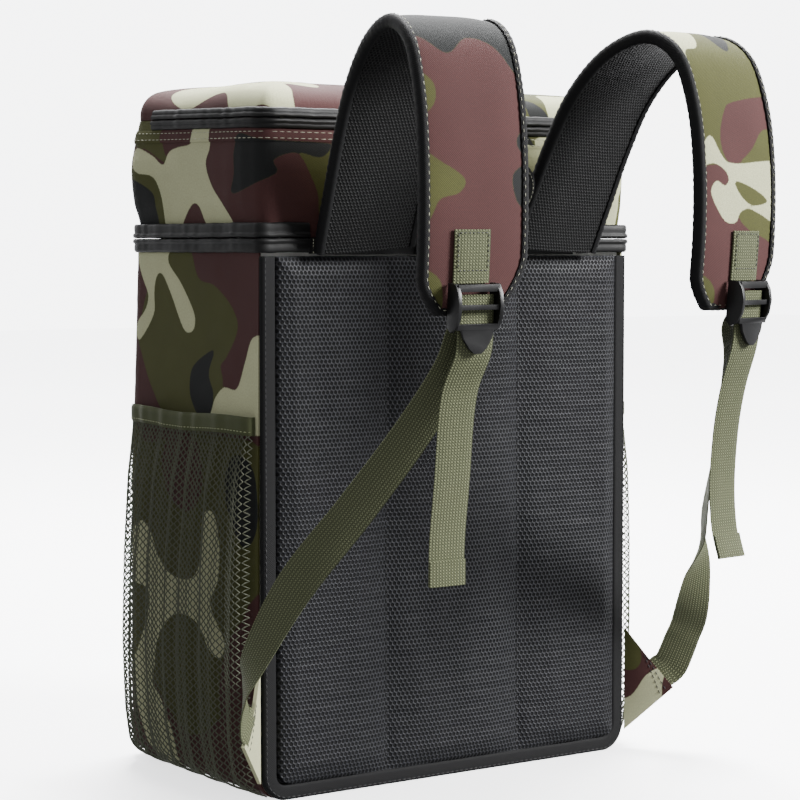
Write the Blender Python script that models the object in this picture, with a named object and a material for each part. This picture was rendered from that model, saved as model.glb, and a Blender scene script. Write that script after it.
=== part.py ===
"""Two-compartment insulated cooler backpack, in metres, +Z up.

The bag stands on its base. The origin is on the floor under the middle of the lower compartment.
The harness side faces -Y and the front faces +Y. The wearer's straps arch out of the back seam.
"""

import math

import bmesh
import bpy
from mathutils import Vector

# Driving dimensions of the lower compartment
WIDTH = 0.303
DEPTH = 0.178
SEAM_Z = 0.3545
BACK_Y = -DEPTH / 2
CORNER_FRONT = 0.018
CORNER_BACK = 0.004
BOTTOM_RADIUS = 0.018
SWELL_FRONT = 0.010
SWELL_SIDE = 0.002

# Layers
GAP = 0.0003
FABRIC = 0.0015
FOAM = 0.006
LINER = 0.0008
PAD = 0.0030
BOARD = 0.0020

# Main zip, between the lower compartment and the upper section
ZIP_LOW_Z = 0.3570
ZIP_SPLIT_Z = 0.3665
ZIP_TOP_Z = 0.3760
ZIP_PROUD = 0.0025
ZIP_END_X = 0.1165

# Upper section and its top lid
UPPER_INSET = 0.0022
UPPER_BACK_CORNER = 0.011
UPPER_TAPER = [(0.3760, 0.0022), (0.3900, 0.0004), (0.4100, -0.0006), (0.4300, 0.0006), (0.4500, 0.0030)]
TOP_ZIP_LOW_Z = 0.4365
TOP_ZIP_SPLIT_Z = 0.4432
TOP_ZIP_TOP_Z = 0.4500
TOP_ZIP_PROUD = 0.0015
TOP_ZIP_END_Y = 0.054
FRONT_RISE = 0.005
RISE_FROM_Z = 0.376
DOME = [(0.4500, 0.0025), (0.4565, 0.0062), (0.4615, 0.0130), (0.4648, 0.0250), (0.4672, 0.0460), (0.4680, 0.0700)]

# Side pockets of net
POCKET_TOP_Z = 0.2395
POCKET_HEM = 0.0110
POCKET_BACK_Y = -0.083
POCKET_FRONT_Y = 0.076
POCKET_BULGE = [
    (0.0020, 0.0010),
    (0.0050, 0.0040),
    (0.0100, 0.0085),
    (0.0180, 0.0125),
    (0.0400, 0.0170),
    (0.0900, 0.0200),
    (0.1500, 0.0185),
    (0.2050, 0.0140),
    (0.2280, 0.0100),
    (POCKET_TOP_Z - GAP, 0.0078),
]
NET = 0.0012
HEM = 0.0016

# Shoulder straps: a side profile of (distance behind the bag, height)
STRAP_LINE = [
    (0.0105, 0.3590),
    (0.0250, 0.3900),
    (0.0440, 0.4290),
    (0.0640, 0.4610),
    (0.0920, 0.4850),
    (0.1240, 0.4940),
    (0.1480, 0.4820),
    (0.1610, 0.4520),
    (0.1665, 0.4150),
    (0.1670, 0.3700),
    (0.1630, 0.3220),
]
STRAP_X = 0.0765
STRAP_SPREAD = 0.165
STRAP_WIDTH = 0.075
STRAP_FOAM = 0.0062
STRAP_MESH = 0.0028
BINDING = 0.0022
SPLAY = {"left": math.radians(3), "right": math.radians(12)}
SIGN = {"left": -1, "right": 1}

# Webbing and buckle
WEB = 0.025
WEB_THICK = 0.0014
ANCHOR_OUT = 0.0045
ANCHOR_TOP_Z = 0.371
BUCKLE_Z = 0.3400
BUCKLE_WIDTH = 0.0318
BUCKLE_DEPTH = 0.0120
FLANGE = 0.0024
TONGUE_DROP = 0.041
TAIL_LINE = {
    "left": [(0.1640, 0.2750), (0.1580, 0.2400), (0.1550, 0.2000), (0.1545, 0.1580)],
    "right": [(0.1640, 0.2700), (0.1575, 0.2400), (0.1550, 0.2100), (0.1575, 0.1800), (0.1630, 0.1590)],
}
TAIL_DRIFT = {"left": 0.006, "right": 0.0}
WEB_IN_BUCKLE = 0.0056
TAIL_PIVOT = 0.0412

# Webbing tabs at the lower back corners
TAB_LOW_Z = 0.013
TAB_HIGH_Z = 0.087
TAB_TIP = Vector((0.173, -0.106, 0.055))
TAB_DIRECTION = Vector((0.804, -0.594, 0.0))
TAB_SLANT = math.radians(50)
LOWER_WEB_LINE = [
    (0.1830, -0.1180, 0.0800),
    (0.1830, -0.1280, 0.1000),
    (0.1680, -0.1550, 0.1500),
    (0.1450, -0.1900, 0.2000),
    (0.1250, -0.2250, 0.2500),
    (0.1130, -0.2480, 0.2880),
]
LOWER_WEB_TWIST = {
    "left": [(0.30, (0.20, -0.52, -0.83)), (0.50, (0.75, -0.40, -0.52)), (0.80, (0.92, -0.30, -0.20))],
    "right": [(0.30, (0.72, 0.40, -0.55)), (0.42, (0.55, 0.83, 0.0)), (0.70, (0.70, 0.70, 0.0))],
}

# Haul loop
LOOP_FOOT = 0.033
LOOP_OUTER = 0.039
LOOP_BAND = 0.020
LOOP_SHANK = 0.045
LOOP_THICK = 0.003
LOOP_LEAN = math.radians(43)

# Front pocket
POCKET_HALF = 0.112
FRONT_POCKET_LOW_Z = 0.030
FRONT_POCKET_TOP_Z = 0.255
FRONT_POCKET_DEEP = 0.006

# Zip sliders
SLIDER = (0.0100, 0.0048, 0.0120)
PULL = (0.0075, 0.0016, 0.0260)

ARC_STEPS = 4

CAMO = (0.30, 0.33, 0.16, 1)
BLACK = (0.015, 0.015, 0.017, 1)
OLIVE = (0.14, 0.15, 0.08, 1)
FOIL = (0.75, 0.76, 0.78, 1)
WHITE = (0.85, 0.85, 0.83, 1)


def material(name, colour, roughness, metallic=0.0):
    """A Principled material, made once for each name."""
    found = bpy.data.materials.get(name)
    if found:
        return found
    made = bpy.data.materials.new(name)
    made.use_nodes = True
    shader = made.node_tree.nodes["Principled BSDF"]
    shader.inputs["Base Color"].default_value = colour
    shader.inputs["Roughness"].default_value = roughness
    shader.inputs["Metallic"].default_value = metallic
    return made


def finish(name, bm, colour, roughness=0.85, metallic=0.0, smooth=False):
    """Turns a bmesh into a named object with its faces pointing out and its own material."""
    bmesh.ops.recalc_face_normals(bm, faces=bm.faces)
    if bm.calc_volume(signed=True) < 0:
        bmesh.ops.reverse_faces(bm, faces=bm.faces)
    mesh = bpy.data.meshes.new(name)
    bm.to_mesh(mesh)
    bm.free()
    if smooth:
        mesh.shade_smooth()
        mesh.set_sharp_from_angle(angle=math.radians(35))
    piece = bpy.data.objects.new(name, mesh)
    mesh.materials.append(material(name + "_finish", colour, roughness, metallic))
    bpy.context.collection.objects.link(piece)
    return piece


def ring_body(name, rings, colour, closed=False, sheet=False, **look):
    """A skin over consecutive rings of points. Its ends are capped, or joined to each other if closed.

    A sheet's rings run along one face and back along the other, so that both faces are cut into the same triangles.
    """
    bm = bmesh.new()
    loops = [[bm.verts.new(p) for p in ring] for ring in rings]
    pairs = list(zip(loops, loops[1:]))
    if closed:
        pairs.append((loops[-1], loops[0]))
    for low, high in pairs:
        for i in range(len(low)):
            k = (i + 1) % len(low)
            if not sheet:
                bm.faces.new((low[i], low[k], high[k], high[i]))
            elif i < len(low) // 2:
                bm.faces.new((low[i], low[k], high[k]))
                bm.faces.new((low[i], high[k], high[i]))
            else:
                bm.faces.new((low[i], low[k], high[i]))
                bm.faces.new((low[k], high[k], high[i]))
    if not closed:
        bm.faces.new(loops[0][::-1])
        bm.faces.new(loops[-1])
    return finish(name, bm, colour, **look)


def box(name, low, high, colour, **look):
    """An upright block between two corners."""
    rings = [
        [(low[0], low[1], z), (high[0], low[1], z), (high[0], high[1], z), (low[0], high[1], z)]
        for z in (low[2], high[2])
    ]
    return ring_body(name, rings, colour, **look)


def arc(centre, radius, start, stop, steps=ARC_STEPS):
    """Points of an arc in a plane, from one angle in degrees to another."""
    angles = [math.radians(start + (stop - start) * i / steps) for i in range(steps + 1)]
    return [(centre[0] + radius * math.cos(a), centre[1] + radius * math.sin(a)) for a in angles]


def interpolate(table, z):
    """The value at z in a table of (z, value) that rises in z."""
    if z <= table[0][0]:
        return table[0][1]
    for (z0, v0), (z1, v1) in zip(table, table[1:]):
        if z <= z1:
            return v0 + (v1 - v0) * (z - z0) / (z1 - z0)
    return table[-1][1]


def curve_through(points, steps):
    """A Catmull-Rom curve through points, as vectors, with some steps between each two."""
    given = [Vector(p) for p in points]
    given = [2 * given[0] - given[1]] + given + [2 * given[-1] - given[-2]]
    made = []
    for a, b, c, d in zip(given, given[1:], given[2:], given[3:]):
        for i in range(steps):
            t = i / steps
            made.append(
                0.5 * (2 * b + (c - a) * t + (2 * a - 5 * b + 4 * c - d) * t**2 + (3 * b - a - 3 * c + d) * t**3)
            )
    made.append(given[-2])
    return made


# ---------------------------------------------------------------- body outlines


def swell(z):
    """How much of the lower compartment's belly is there at a height, from 0 to 1."""
    return interpolate([(0.0, 0.8), (0.06, 1.0), (0.20, 0.75), (SEAM_Z, 0.0)], z)


def under_curve(z):
    """How far the side and front walls have curled in under the bag at a height."""
    if z >= BOTTOM_RADIUS:
        return 0.0
    return BOTTOM_RADIUS - math.sqrt(BOTTOM_RADIUS**2 - (BOTTOM_RADIUS - z) ** 2)


def lower_sides(z, inset=0.0):
    """(half width, back y, front y) of the lower compartment's outline at a height."""
    half = WIDTH / 2 + SWELL_SIDE * swell(z) - under_curve(z) - inset
    return half, BACK_Y + inset, DEPTH / 2 + SWELL_FRONT * swell(z) - under_curve(z) - inset


def rounded(half, back, front, back_radius, front_radius, steps=ARC_STEPS):
    """A counter-clockwise outline from the back left corner, symmetric about X = 0."""
    b, f = max(back_radius, 0.001), max(front_radius, 0.001)
    return (
        arc((-half + b, back + b), b, 180, 270, steps)
        + arc((half - b, back + b), b, 270, 360, steps)
        + arc((half - f, front - f), f, 0, 90, steps)
        + arc((-half + f, front - f), f, 90, 180, steps)
    )


def lower_ring(z, inset, back_y=None):
    """The lower compartment's outline at a height and inset, as points in space."""
    half, back, front = lower_sides(z, inset)
    if back_y is not None:
        back = back_y
    plan = rounded(half, back, front, CORNER_BACK - inset, CORNER_FRONT - inset)
    return [(x, y, z) for x, y in plan]


def rise(y, z):
    """A height in the upper section, lifted towards the front."""
    share = min(max((z - RISE_FROM_Z) / (TOP_ZIP_LOW_Z - RISE_FROM_Z), 0.0), 1.0)
    return z + FRONT_RISE * share * (y / DEPTH + 0.5)


def upper_taper(z):
    """The inset of the upper section's soft wall at a height."""
    return interpolate(UPPER_TAPER, z)


def upper_ring(z, inset, taper=None):
    """The upper section's outline at a height, inset from its outer face."""
    t = (upper_taper(z) if taper is None else taper) + inset
    plan = rounded(
        WIDTH / 2 - t,
        BACK_Y + t - UPPER_INSET,
        DEPTH / 2 - t,
        UPPER_BACK_CORNER - inset,
        CORNER_FRONT - inset,
    )
    return [(x, y, rise(y, z)) for x, y in plan]


# ---------------------------------------------------------------- lower compartment

WALL_BACK_Y = BACK_Y + PAD + GAP
LEVELS = [0.0, 0.002, 0.005, 0.010, BOTTOM_RADIUS, 0.06, 0.13, 0.20, 0.28, SEAM_Z, ZIP_SPLIT_Z - GAP]
NET_OFF = 0.0006


def side_strip(z, inset, sign):
    """A side wall's line at a height, from the back to where the front corner starts."""
    half, _, front = lower_sides(z, inset)
    corner = front - (CORNER_FRONT - inset)
    return [(sign * half, y, z) for y in (WALL_BACK_Y, 0.0, corner - GAP)]


def front_strip(z, inset):
    """The front wall's line at a height, round both front corners."""
    half, _, front = lower_sides(z, inset)
    radius = CORNER_FRONT - inset
    plan = arc((half - radius, front - radius), radius, 0, 90) + arc((-half + radius, front - radius), radius, 90, 180)
    return [(x, y, z) for x, y in plan]


def make_walls():
    """The fabric walls round the lower compartment, and its base."""
    for side, sign in SIGN.items():
        rings = [side_strip(z, 0.0, sign) + side_strip(z, FABRIC, sign)[::-1] for z in LEVELS]
        ring_body(side + "_side_panel", rings, CAMO)
    rings = [front_strip(z, 0.0) + front_strip(z, FABRIC)[::-1] for z in LEVELS]
    ring_body("front_panel", rings, CAMO)
    base_rings = []
    for z in (0.0, 0.0020):
        half, _, front = lower_sides(z, FABRIC + GAP)
        plan = rounded(half, WALL_BACK_Y, front, 0.002, CORNER_FRONT - FABRIC)
        base_rings.append([(x, y, z) for x, y in plan])
    ring_body("base_panel", base_rings, BLACK)


def back_outline(half, low_z, high_z, radius):
    """An upright outline with rounded bottom corners, seen along Y."""
    return (
        [(-half, high_z)]
        + arc((-half + radius, low_z + radius), radius, 180, 270)
        + arc((half - radius, low_z + radius), radius, 270, 360)
        + [(half, high_z)]
    )


def slab(name, outline, back_y, front_y, colour, **look):
    """A flat piece with an upright outline, between two planes across Y."""
    rings = [[(x, y, z) for x, z in outline] for y in (back_y, front_y)]
    return ring_body(name, rings, colour, **look)


def make_back():
    """The back board, the air-mesh pad with its three channels, and the binding round the pad."""
    half = WIDTH / 2
    edge = 0.010
    board_back = WALL_BACK_Y
    board = back_outline(half - FABRIC - 2 * GAP, 0.0023, SEAM_Z, BOTTOM_RADIUS)
    slab("back_board", board, board_back, board_back + BOARD, BLACK)

    columns = [-half + edge + GAP, -0.138, -0.095, -0.058, -0.052, -0.020, 0.020, 0.052, 0.058, 0.095, 0.138]
    columns.append(half - edge - GAP)
    depths = [0.0, 0.0012, 0.0022, 0.0008, 0.0008, 0.0024, 0.0024, 0.0008, 0.0008, 0.0022, 0.0012, 0.0]
    rings = []
    for z, x_scale, share in (
        (edge + GAP, 0.93, 0.3),
        (edge + 0.008, 1.0, 0.8),
        (0.05, 1.0, 1.0),
        (SEAM_Z - 0.02, 1.0, 1.0),
        (SEAM_Z, 1.0, 0.2),
    ):
        outer = [(x * x_scale, BACK_Y - d * share, z) for x, d in zip(columns, depths)]
        inner = [(x * x_scale, BACK_Y + PAD, z) for x in columns]
        rings.append(outer + inner[::-1])
    ring_body("back_pad", rings, BLACK, roughness=0.95)

    outer = back_outline(half, 0.0, SEAM_Z, BOTTOM_RADIUS)
    inner = back_outline(half - edge, edge, SEAM_Z, BOTTOM_RADIUS - edge)
    slab("back_binding", outer + inner[::-1], BACK_Y, BACK_Y + PAD, BLACK)


def tub(name, outer_levels, inner_levels, outer_inset, inner_inset, ring, colour, **look):
    """An open-topped tub between two insets of a ring function."""
    rings = [ring(z, outer_inset) for z in outer_levels] + [ring(z, inner_inset) for z in inner_levels[::-1]]
    return ring_body(name, rings, colour, **look)


def make_inner_tubs():
    """The foam tub and the foil liner of the main compartment."""
    board_front = WALL_BACK_Y + BOARD + GAP
    foam_outer = FABRIC + GAP
    foam_inner = foam_outer + FOAM
    top = ZIP_SPLIT_Z - 0.002

    def foam_ring(z, inset):
        return lower_ring(z, inset, board_front + inset - foam_outer)

    upper = LEVELS[4:-1] + [top]
    floor = 0.0023
    tub(
        "foam_tub", [floor, 0.005, 0.010] + upper, [floor + FOAM] + upper, foam_outer, foam_inner, foam_ring, WHITE
    )
    skin = foam_inner + GAP
    tub(
        "foil_liner",
        [floor + FOAM + GAP] + upper,
        [floor + FOAM + GAP + LINER] + upper,
        skin,
        skin + LINER,
        foam_ring,
        FOIL,
        roughness=0.35,
        metallic=0.6,
    )


def wrap_plan(half, front, back, back_radius, front_radius):
    """A plan line from the back left, round the left side, the front and the right side, to the back right."""
    b, f = back_radius, front_radius
    left = arc((-half + b, back + b), b, 270, 180) + arc((-half + f, front - f), f, 180, 90)
    right = [(-x, y) for x, y in left[::-1]]
    return [(-ZIP_END_X, back)] + left + right + [(ZIP_END_X, back)]


def make_main_zip():
    """The two tapes of the main zip, and the tab that closes each of its ends."""
    half, back, front = lower_sides(SEAM_Z)
    for name, low, high, deep in (
        ("main_zip_lower_tape", ZIP_LOW_Z, ZIP_SPLIT_Z - GAP, GAP),
        ("main_zip_upper_tape", ZIP_SPLIT_Z + GAP, ZIP_TOP_Z, GAP - UPPER_INSET),
    ):
        outer = wrap_plan(half + ZIP_PROUD, front + ZIP_PROUD, back - ZIP_PROUD, 0.006, CORNER_FRONT + ZIP_PROUD)
        inner = wrap_plan(half + deep, front + deep, back - GAP, 0.004, CORNER_FRONT)
        plan = outer + inner[::-1]
        ring_body(name, [[(x, y, z) for x, y in plan] for z in (low, high)], BLACK, roughness=0.5)
    for side, sign in SIGN.items():
        near, far = ZIP_END_X - GAP, ZIP_END_X - 0.0105
        low = (min(sign * near, sign * far), BACK_Y - 0.0024, ZIP_LOW_Z)
        high = (max(sign * near, sign * far), BACK_Y - GAP, ZIP_SPLIT_Z - GAP)
        box("zip_end_" + side, low, high, BLACK)


# ---------------------------------------------------------------- pockets, tabs and front pocket


def pocket_bulge(z, y):
    """How far the net stands off the side panel at a place."""
    share = (y - POCKET_BACK_Y) / (POCKET_FRONT_Y - POCKET_BACK_Y)
    return interpolate(POCKET_BULGE, z) * max(1 - abs(2 * share - 1) ** 4, 0.0) ** 0.4


def pocket_line(z, sign, off, bulge_z=None):
    """A pocket's line at a height, from its back edge to its front edge, off the net's inner face."""
    half, _, _ = lower_sides(z)
    line = []
    for i in range(9):
        share = 0.5 - 0.5 * math.cos(math.pi * i / 8)
        y = POCKET_BACK_Y + (POCKET_FRONT_Y - POCKET_BACK_Y) * share
        stand = pocket_bulge(z if bulge_z is None else bulge_z, y)
        line.append((sign * (half + NET_OFF + stand + off), y, z))
    return line


def make_side_pockets():
    """Each side's net pocket and the elastic hem on its mouth."""
    for side, sign in SIGN.items():
        rings = [pocket_line(z, sign, NET) + pocket_line(z, sign, 0.0)[::-1] for z, _ in POCKET_BULGE]
        ring_body("pocket_net_" + side, rings, OLIVE, sheet=True)
        top = POCKET_TOP_Z - GAP
        levels = (POCKET_TOP_Z, POCKET_TOP_Z + POCKET_HEM)
        rings = [pocket_line(z, sign, HEM, top) + pocket_line(z, sign, 0.0, top)[::-1] for z in levels]
        ring_body("pocket_hem_" + side, rings, OLIVE, sheet=True)


def tab_frame(sign):
    """(middle of the tab's cut edge, along that edge, the way the webbing leaves) for one side."""
    edge = TAB_DIRECTION * math.cos(TAB_SLANT) - Vector((0, 0, math.sin(TAB_SLANT)))
    away = TAB_DIRECTION * math.sin(TAB_SLANT) + Vector((0, 0, math.cos(TAB_SLANT)))
    return tuple(Vector((sign * v.x, v.y, v.z)) for v in (TAB_TIP, edge, away))


def make_tabs():
    """The triangular fabric tab at each lower back corner, which holds the lower webbing."""
    for side, sign in SIGN.items():
        tip, edge, _ = tab_frame(sign)
        root_x = sign * (WIDTH / 2 + 0.0028)
        root_y = BACK_Y + 0.0010
        corners = [
            Vector((root_x, root_y, TAB_LOW_Z)),
            tip + edge * (WEB / 2 + 0.0015),
            tip - edge * (WEB / 2 + 0.0015),
            Vector((root_x, root_y, TAB_HIGH_Z)),
        ]
        normal = Vector((sign * TAB_DIRECTION.y, -TAB_DIRECTION.x, 0.0)).normalized()
        rings = [[tuple(c + normal * d) for c in corners] for d in (-0.0012, 0.0012)]
        ring_body("web_tab_" + side, rings, CAMO)


def make_front_pocket():
    """The flat zipped pocket on the front, with its zip above it."""

    def front_ring(z, near, far, half=POCKET_HALF, crown=0.0):
        y = lower_sides(z)[2]
        return [
            (-half, y + near, z),
            (half, y + near, z),
            (half, y + far * (1 - crown), z),
            (half - 0.012, y + far, z),
            (-half + 0.012, y + far, z),
            (-half, y + far * (1 - crown), z),
        ]

    levels = [FRONT_POCKET_LOW_Z, 0.06, 0.13, 0.20, FRONT_POCKET_TOP_Z]
    shares = [0.4, 1.0, 1.0, 1.0, 0.6]
    rings = [front_ring(z, GAP, FRONT_POCKET_DEEP * s, crown=0.5) for z, s in zip(levels, shares)]
    ring_body("front_pocket", rings, CAMO)
    low = FRONT_POCKET_TOP_Z + GAP
    rings = [front_ring(z, GAP, 0.0032, crown=0.2) for z in (low, low + 0.012)]
    ring_body("front_pocket_zip", rings, BLACK, roughness=0.5)


# ---------------------------------------------------------------- upper section and lid


def levels_above(low, high):
    """The heights of the upper wall's rings between two heights, both of them included."""
    return [low] + [z for z, _ in UPPER_TAPER if low < z < high] + [high]


def make_upper_section():
    """The upper section's walls, divider floor, foam, liner, zip tape and the hinge strip at the back."""
    wall_top = TOP_ZIP_SPLIT_Z - GAP
    floor_low = ZIP_SPLIT_Z + GAP
    wall = levels_above(floor_low, wall_top)
    outer = [upper_ring(z, 0.0) for z in wall]
    inner = [upper_ring(z, FABRIC) for z in wall[::-1]]
    ring_body("upper_wall", outer + inner, CAMO, closed=True)

    floor_high = floor_low + 0.004
    rings = [upper_ring(z, FABRIC + GAP) for z in (floor_low, floor_high)]
    ring_body("divider_floor", rings, FOIL, roughness=0.4, metallic=0.5)

    foam_low = floor_high + GAP
    foam_wall = 0.004
    inset = FABRIC + GAP
    tub(
        "upper_foam", levels_above(foam_low, wall_top), levels_above(foam_low + foam_wall, wall_top),
        inset, inset + foam_wall, upper_ring, WHITE,
    )
    liner_low = foam_low + foam_wall + GAP
    inset = inset + foam_wall + GAP
    tub(
        "upper_liner", levels_above(liner_low, wall_top), levels_above(liner_low + LINER, wall_top),
        inset, inset + LINER, upper_ring, FOIL, roughness=0.35, metallic=0.6,
    )
    strip = 0.104
    box(
        "hinge_strip",
        (-strip, BACK_Y + 0.0002, SEAM_Z + 0.0010),
        (strip, BACK_Y + 0.0014, ZIP_SPLIT_Z),
        BLACK,
    )
    ring_rows = []
    for z in (TOP_ZIP_LOW_Z - 0.0085, TOP_ZIP_LOW_Z - GAP):
        ring_rows.append((upper_ring(z, -0.0009), upper_ring(z, -GAP)))
    (low_out, low_in), (high_out, high_in) = ring_rows
    ring_body("upper_hem", [low_out, high_out, high_in, low_in], CAMO, closed=True)


def top_zip_ring(z, inset):
    """The top zip's line at a height, open at the front: left side, back and right side."""
    t = upper_taper(z) + inset
    half, back = WIDTH / 2 - t, BACK_Y + t - UPPER_INSET
    b = UPPER_BACK_CORNER - inset
    plan = [(-half, TOP_ZIP_END_Y)] + arc((-half + b, back + b), b, 180, 270)
    plan += arc((half - b, back + b), b, 270, 360) + [(half, TOP_ZIP_END_Y)]
    return [(x, y, rise(y, z)) for x, y in plan]


def make_top_lid():
    """The domed lid with its foam and liner, and both tapes of the top zip."""
    for name, low, high in (
        ("top_zip_lower_tape", TOP_ZIP_LOW_Z, TOP_ZIP_SPLIT_Z - GAP),
        ("top_zip_upper_tape", TOP_ZIP_SPLIT_Z + GAP, TOP_ZIP_TOP_Z - GAP),
    ):
        rings = [top_zip_ring(z, -TOP_ZIP_PROUD) + top_zip_ring(z, -GAP)[::-1] for z in (low, high)]
        ring_body(name, rings, BLACK, roughness=0.5)

    def shell(name, offset, thick, colour, **look):
        """A domed shell under the lid's outer face, offset from it and with a thickness."""
        skirt = TOP_ZIP_SPLIT_Z + GAP
        outer = [(skirt, upper_taper(skirt) + offset)] + [(z - offset, t + upper_taper(z) + offset) for z, t in DOME]
        inner = [(z - thick, t + thick) for z, t in outer[1:]]
        inner = [(skirt, outer[0][1] + thick)] + inner
        rings = [upper_ring(z, 0.0, t) for z, t in inner[::-1]] + [upper_ring(z, 0.0, t) for z, t in outer]
        return ring_body(name, rings, colour, **look)

    shell("lid_cover", 0.0, FABRIC, CAMO)
    shell("lid_foam", FABRIC + GAP, 0.004, WHITE)
    shell("lid_liner", FABRIC + 0.004 + 2 * GAP, LINER, FOIL, roughness=0.35, metallic=0.6)


# ---------------------------------------------------------------- straps


def strap_frames(side, steps=2):
    """Frames along a strap: (centre, tangent, width direction to the right, outward normal, arc length)."""
    sign = SIGN[side]
    line = curve_through([(0.0, p, z) for p, z in STRAP_LINE], steps)
    centres = [Vector((sign * (STRAP_X + STRAP_SPREAD * v.y), BACK_Y - v.y, v.z)) for v in line]
    frames = []
    length = 0.0
    for i, centre in enumerate(centres):
        ahead = centres[min(i + 1, len(centres) - 1)]
        behind = centres[max(i - 1, 0)]
        tangent = (ahead - behind).normalized()
        turn = SPLAY[side] * min(line[i].y / 0.12, 1.0)
        across = Vector((math.cos(turn), sign * math.sin(turn), 0.0))
        across = (across - tangent * across.dot(tangent)).normalized()
        normal = tangent.cross(across).normalized()
        if i:
            length += (centre - centres[i - 1]).length
        frames.append((centre, tangent, across, normal, length))
    return frames


def outward(frames):
    """The frames with their normals pointing out of the arch, up at its top."""
    top = max(frames, key=lambda f: f[0].z)
    flip = 1 if top[3].z > 0 else -1
    return [(c, t, a, n * flip, s) for c, t, a, n, s in frames]


def edge_cut(to_end, depth, length):
    """How much a strap's edge is cut back near the tip, with a soft start."""
    share = max(1 - to_end / length, 0.0)
    return depth * share**1.6


def strap_edges(frames):
    """For each frame, how far the strap reaches to its left and to its right."""
    whole = frames[-1][4]
    half = STRAP_WIDTH / 2
    return [
        (half - edge_cut(whole - s, 0.012, 0.020), half - edge_cut(whole - s, 0.018, 0.034))
        for _, _, _, _, s in frames
    ]


def band(name, frames, edges, low, high, trim, colour, **look):
    """A flat band along frames, between its edges and two heights along the normal."""
    rings = []
    for (centre, _, across, normal, _), (left, right) in zip(frames, edges):
        a = centre - across * (left - trim)
        b = centre + across * (right - trim)
        rings.append([tuple(v) for v in (a + normal * low, b + normal * low, b + normal * high, a + normal * high)])
    return ring_body(name, rings, colour, sheet=True, **look)


def strap_binding(name, frames, edges, colour):
    """The tape sewn round a strap's long edges and its tip."""
    stations = [(f, f[0] - f[2] * (e[0] - BINDING)) for f, e in zip(frames, edges)]
    stations += [(f, f[0] + f[2] * (e[1] - BINDING)) for f, e in zip(frames[::-1], edges[::-1])]
    points = [p for _, p in stations]
    rings = []
    for i, (frame, point) in enumerate(stations):
        along = points[min(i + 1, len(points) - 1)] - points[max(i - 1, 0)]
        out = along.cross(frame[3]).normalized()
        if out.dot(point - frame[0]) < 0:
            out = -out
        near, far = point + out * GAP, point + out * BINDING
        low, high = frame[3] * -STRAP_MESH, frame[3] * STRAP_FOAM
        rings.append([tuple(v) for v in (near + low, far + low, far + high, near + high)])
    return ring_body(name, rings, colour)


def make_straps():
    """Each strap's camo pad, its air-mesh lining and its binding."""
    for side in SIGN:
        frames = outward(strap_frames(side))
        edges = strap_edges(frames)
        band("strap_pad_" + side, frames, edges, 0.00015, STRAP_FOAM, BINDING, CAMO)
        band("strap_lining_" + side, frames, edges, -STRAP_MESH, -0.00015, BINDING, BLACK, roughness=0.95)
        strap_binding("strap_binding_" + side, frames, edges, BLACK)


def buckle_frame(side):
    """(origin at the middle of the buckle's top, right, down, out) for one side."""
    frames = outward(strap_frames(side))
    near = min(frames[len(frames) // 2:], key=lambda f: abs(f[0].z - BUCKLE_Z))
    centre, tangent, across, normal, _ = near
    centre = centre + tangent * ((BUCKLE_Z - centre.z) / tangent.z)
    origin = centre + across * (SIGN[side] * ANCHOR_OUT) + normal * (STRAP_FOAM + 0.0008)
    return origin, across, tangent, normal


def make_anchor(side):
    """The webbing patch sewn to the strap, which holds the buckle by its top bar."""
    frames = [f for f in outward(strap_frames(side, 4)) if f[0].y < BACK_Y - 0.12]
    frames = [f for f in frames if BUCKLE_Z + 0.001 < f[0].z < ANCHOR_TOP_Z]
    rings = []
    shift = SIGN[side] * ANCHOR_OUT
    for centre, _, across, normal, _ in frames:
        a = centre + across * (shift - WEB / 2)
        b = centre + across * (shift + WEB / 2)
        low, high = normal * (STRAP_FOAM + GAP), normal * (STRAP_FOAM + GAP + WEB_THICK)
        rings.append([tuple(v) for v in (a + low, b + low, b + high, a + high)])
    ring_body("anchor_web_" + side, rings, OLIVE)


def placed_block(name, frame, u, v, d):
    """A block given by ranges along a buckle frame's right, down and out directions."""
    origin, across, down, normal = frame
    rings = []
    for k in v:
        at = origin + down * k
        rings.append(
            [tuple(at + across * i + normal * j) for i, j in ((u[0], d[0]), (u[1], d[0]), (u[1], d[1]), (u[0], d[1]))]
        )
    return ring_body(name, rings, BLACK, roughness=0.4)


def union(base, others):
    """Joins bodies into base with exact Boolean unions, applied, and removes the others."""
    for other in others:
        step = base.modifiers.new("Union", "BOOLEAN")
        step.operation = "UNION"
        step.solver = "EXACT"
        step.object = other
    bpy.context.view_layer.update()
    mesh = bpy.data.meshes.new_from_object(base.evaluated_get(bpy.context.evaluated_depsgraph_get()))
    base.modifiers.clear()
    base.data = mesh
    for other in others:
        bpy.data.objects.remove(other)
    return base


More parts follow.
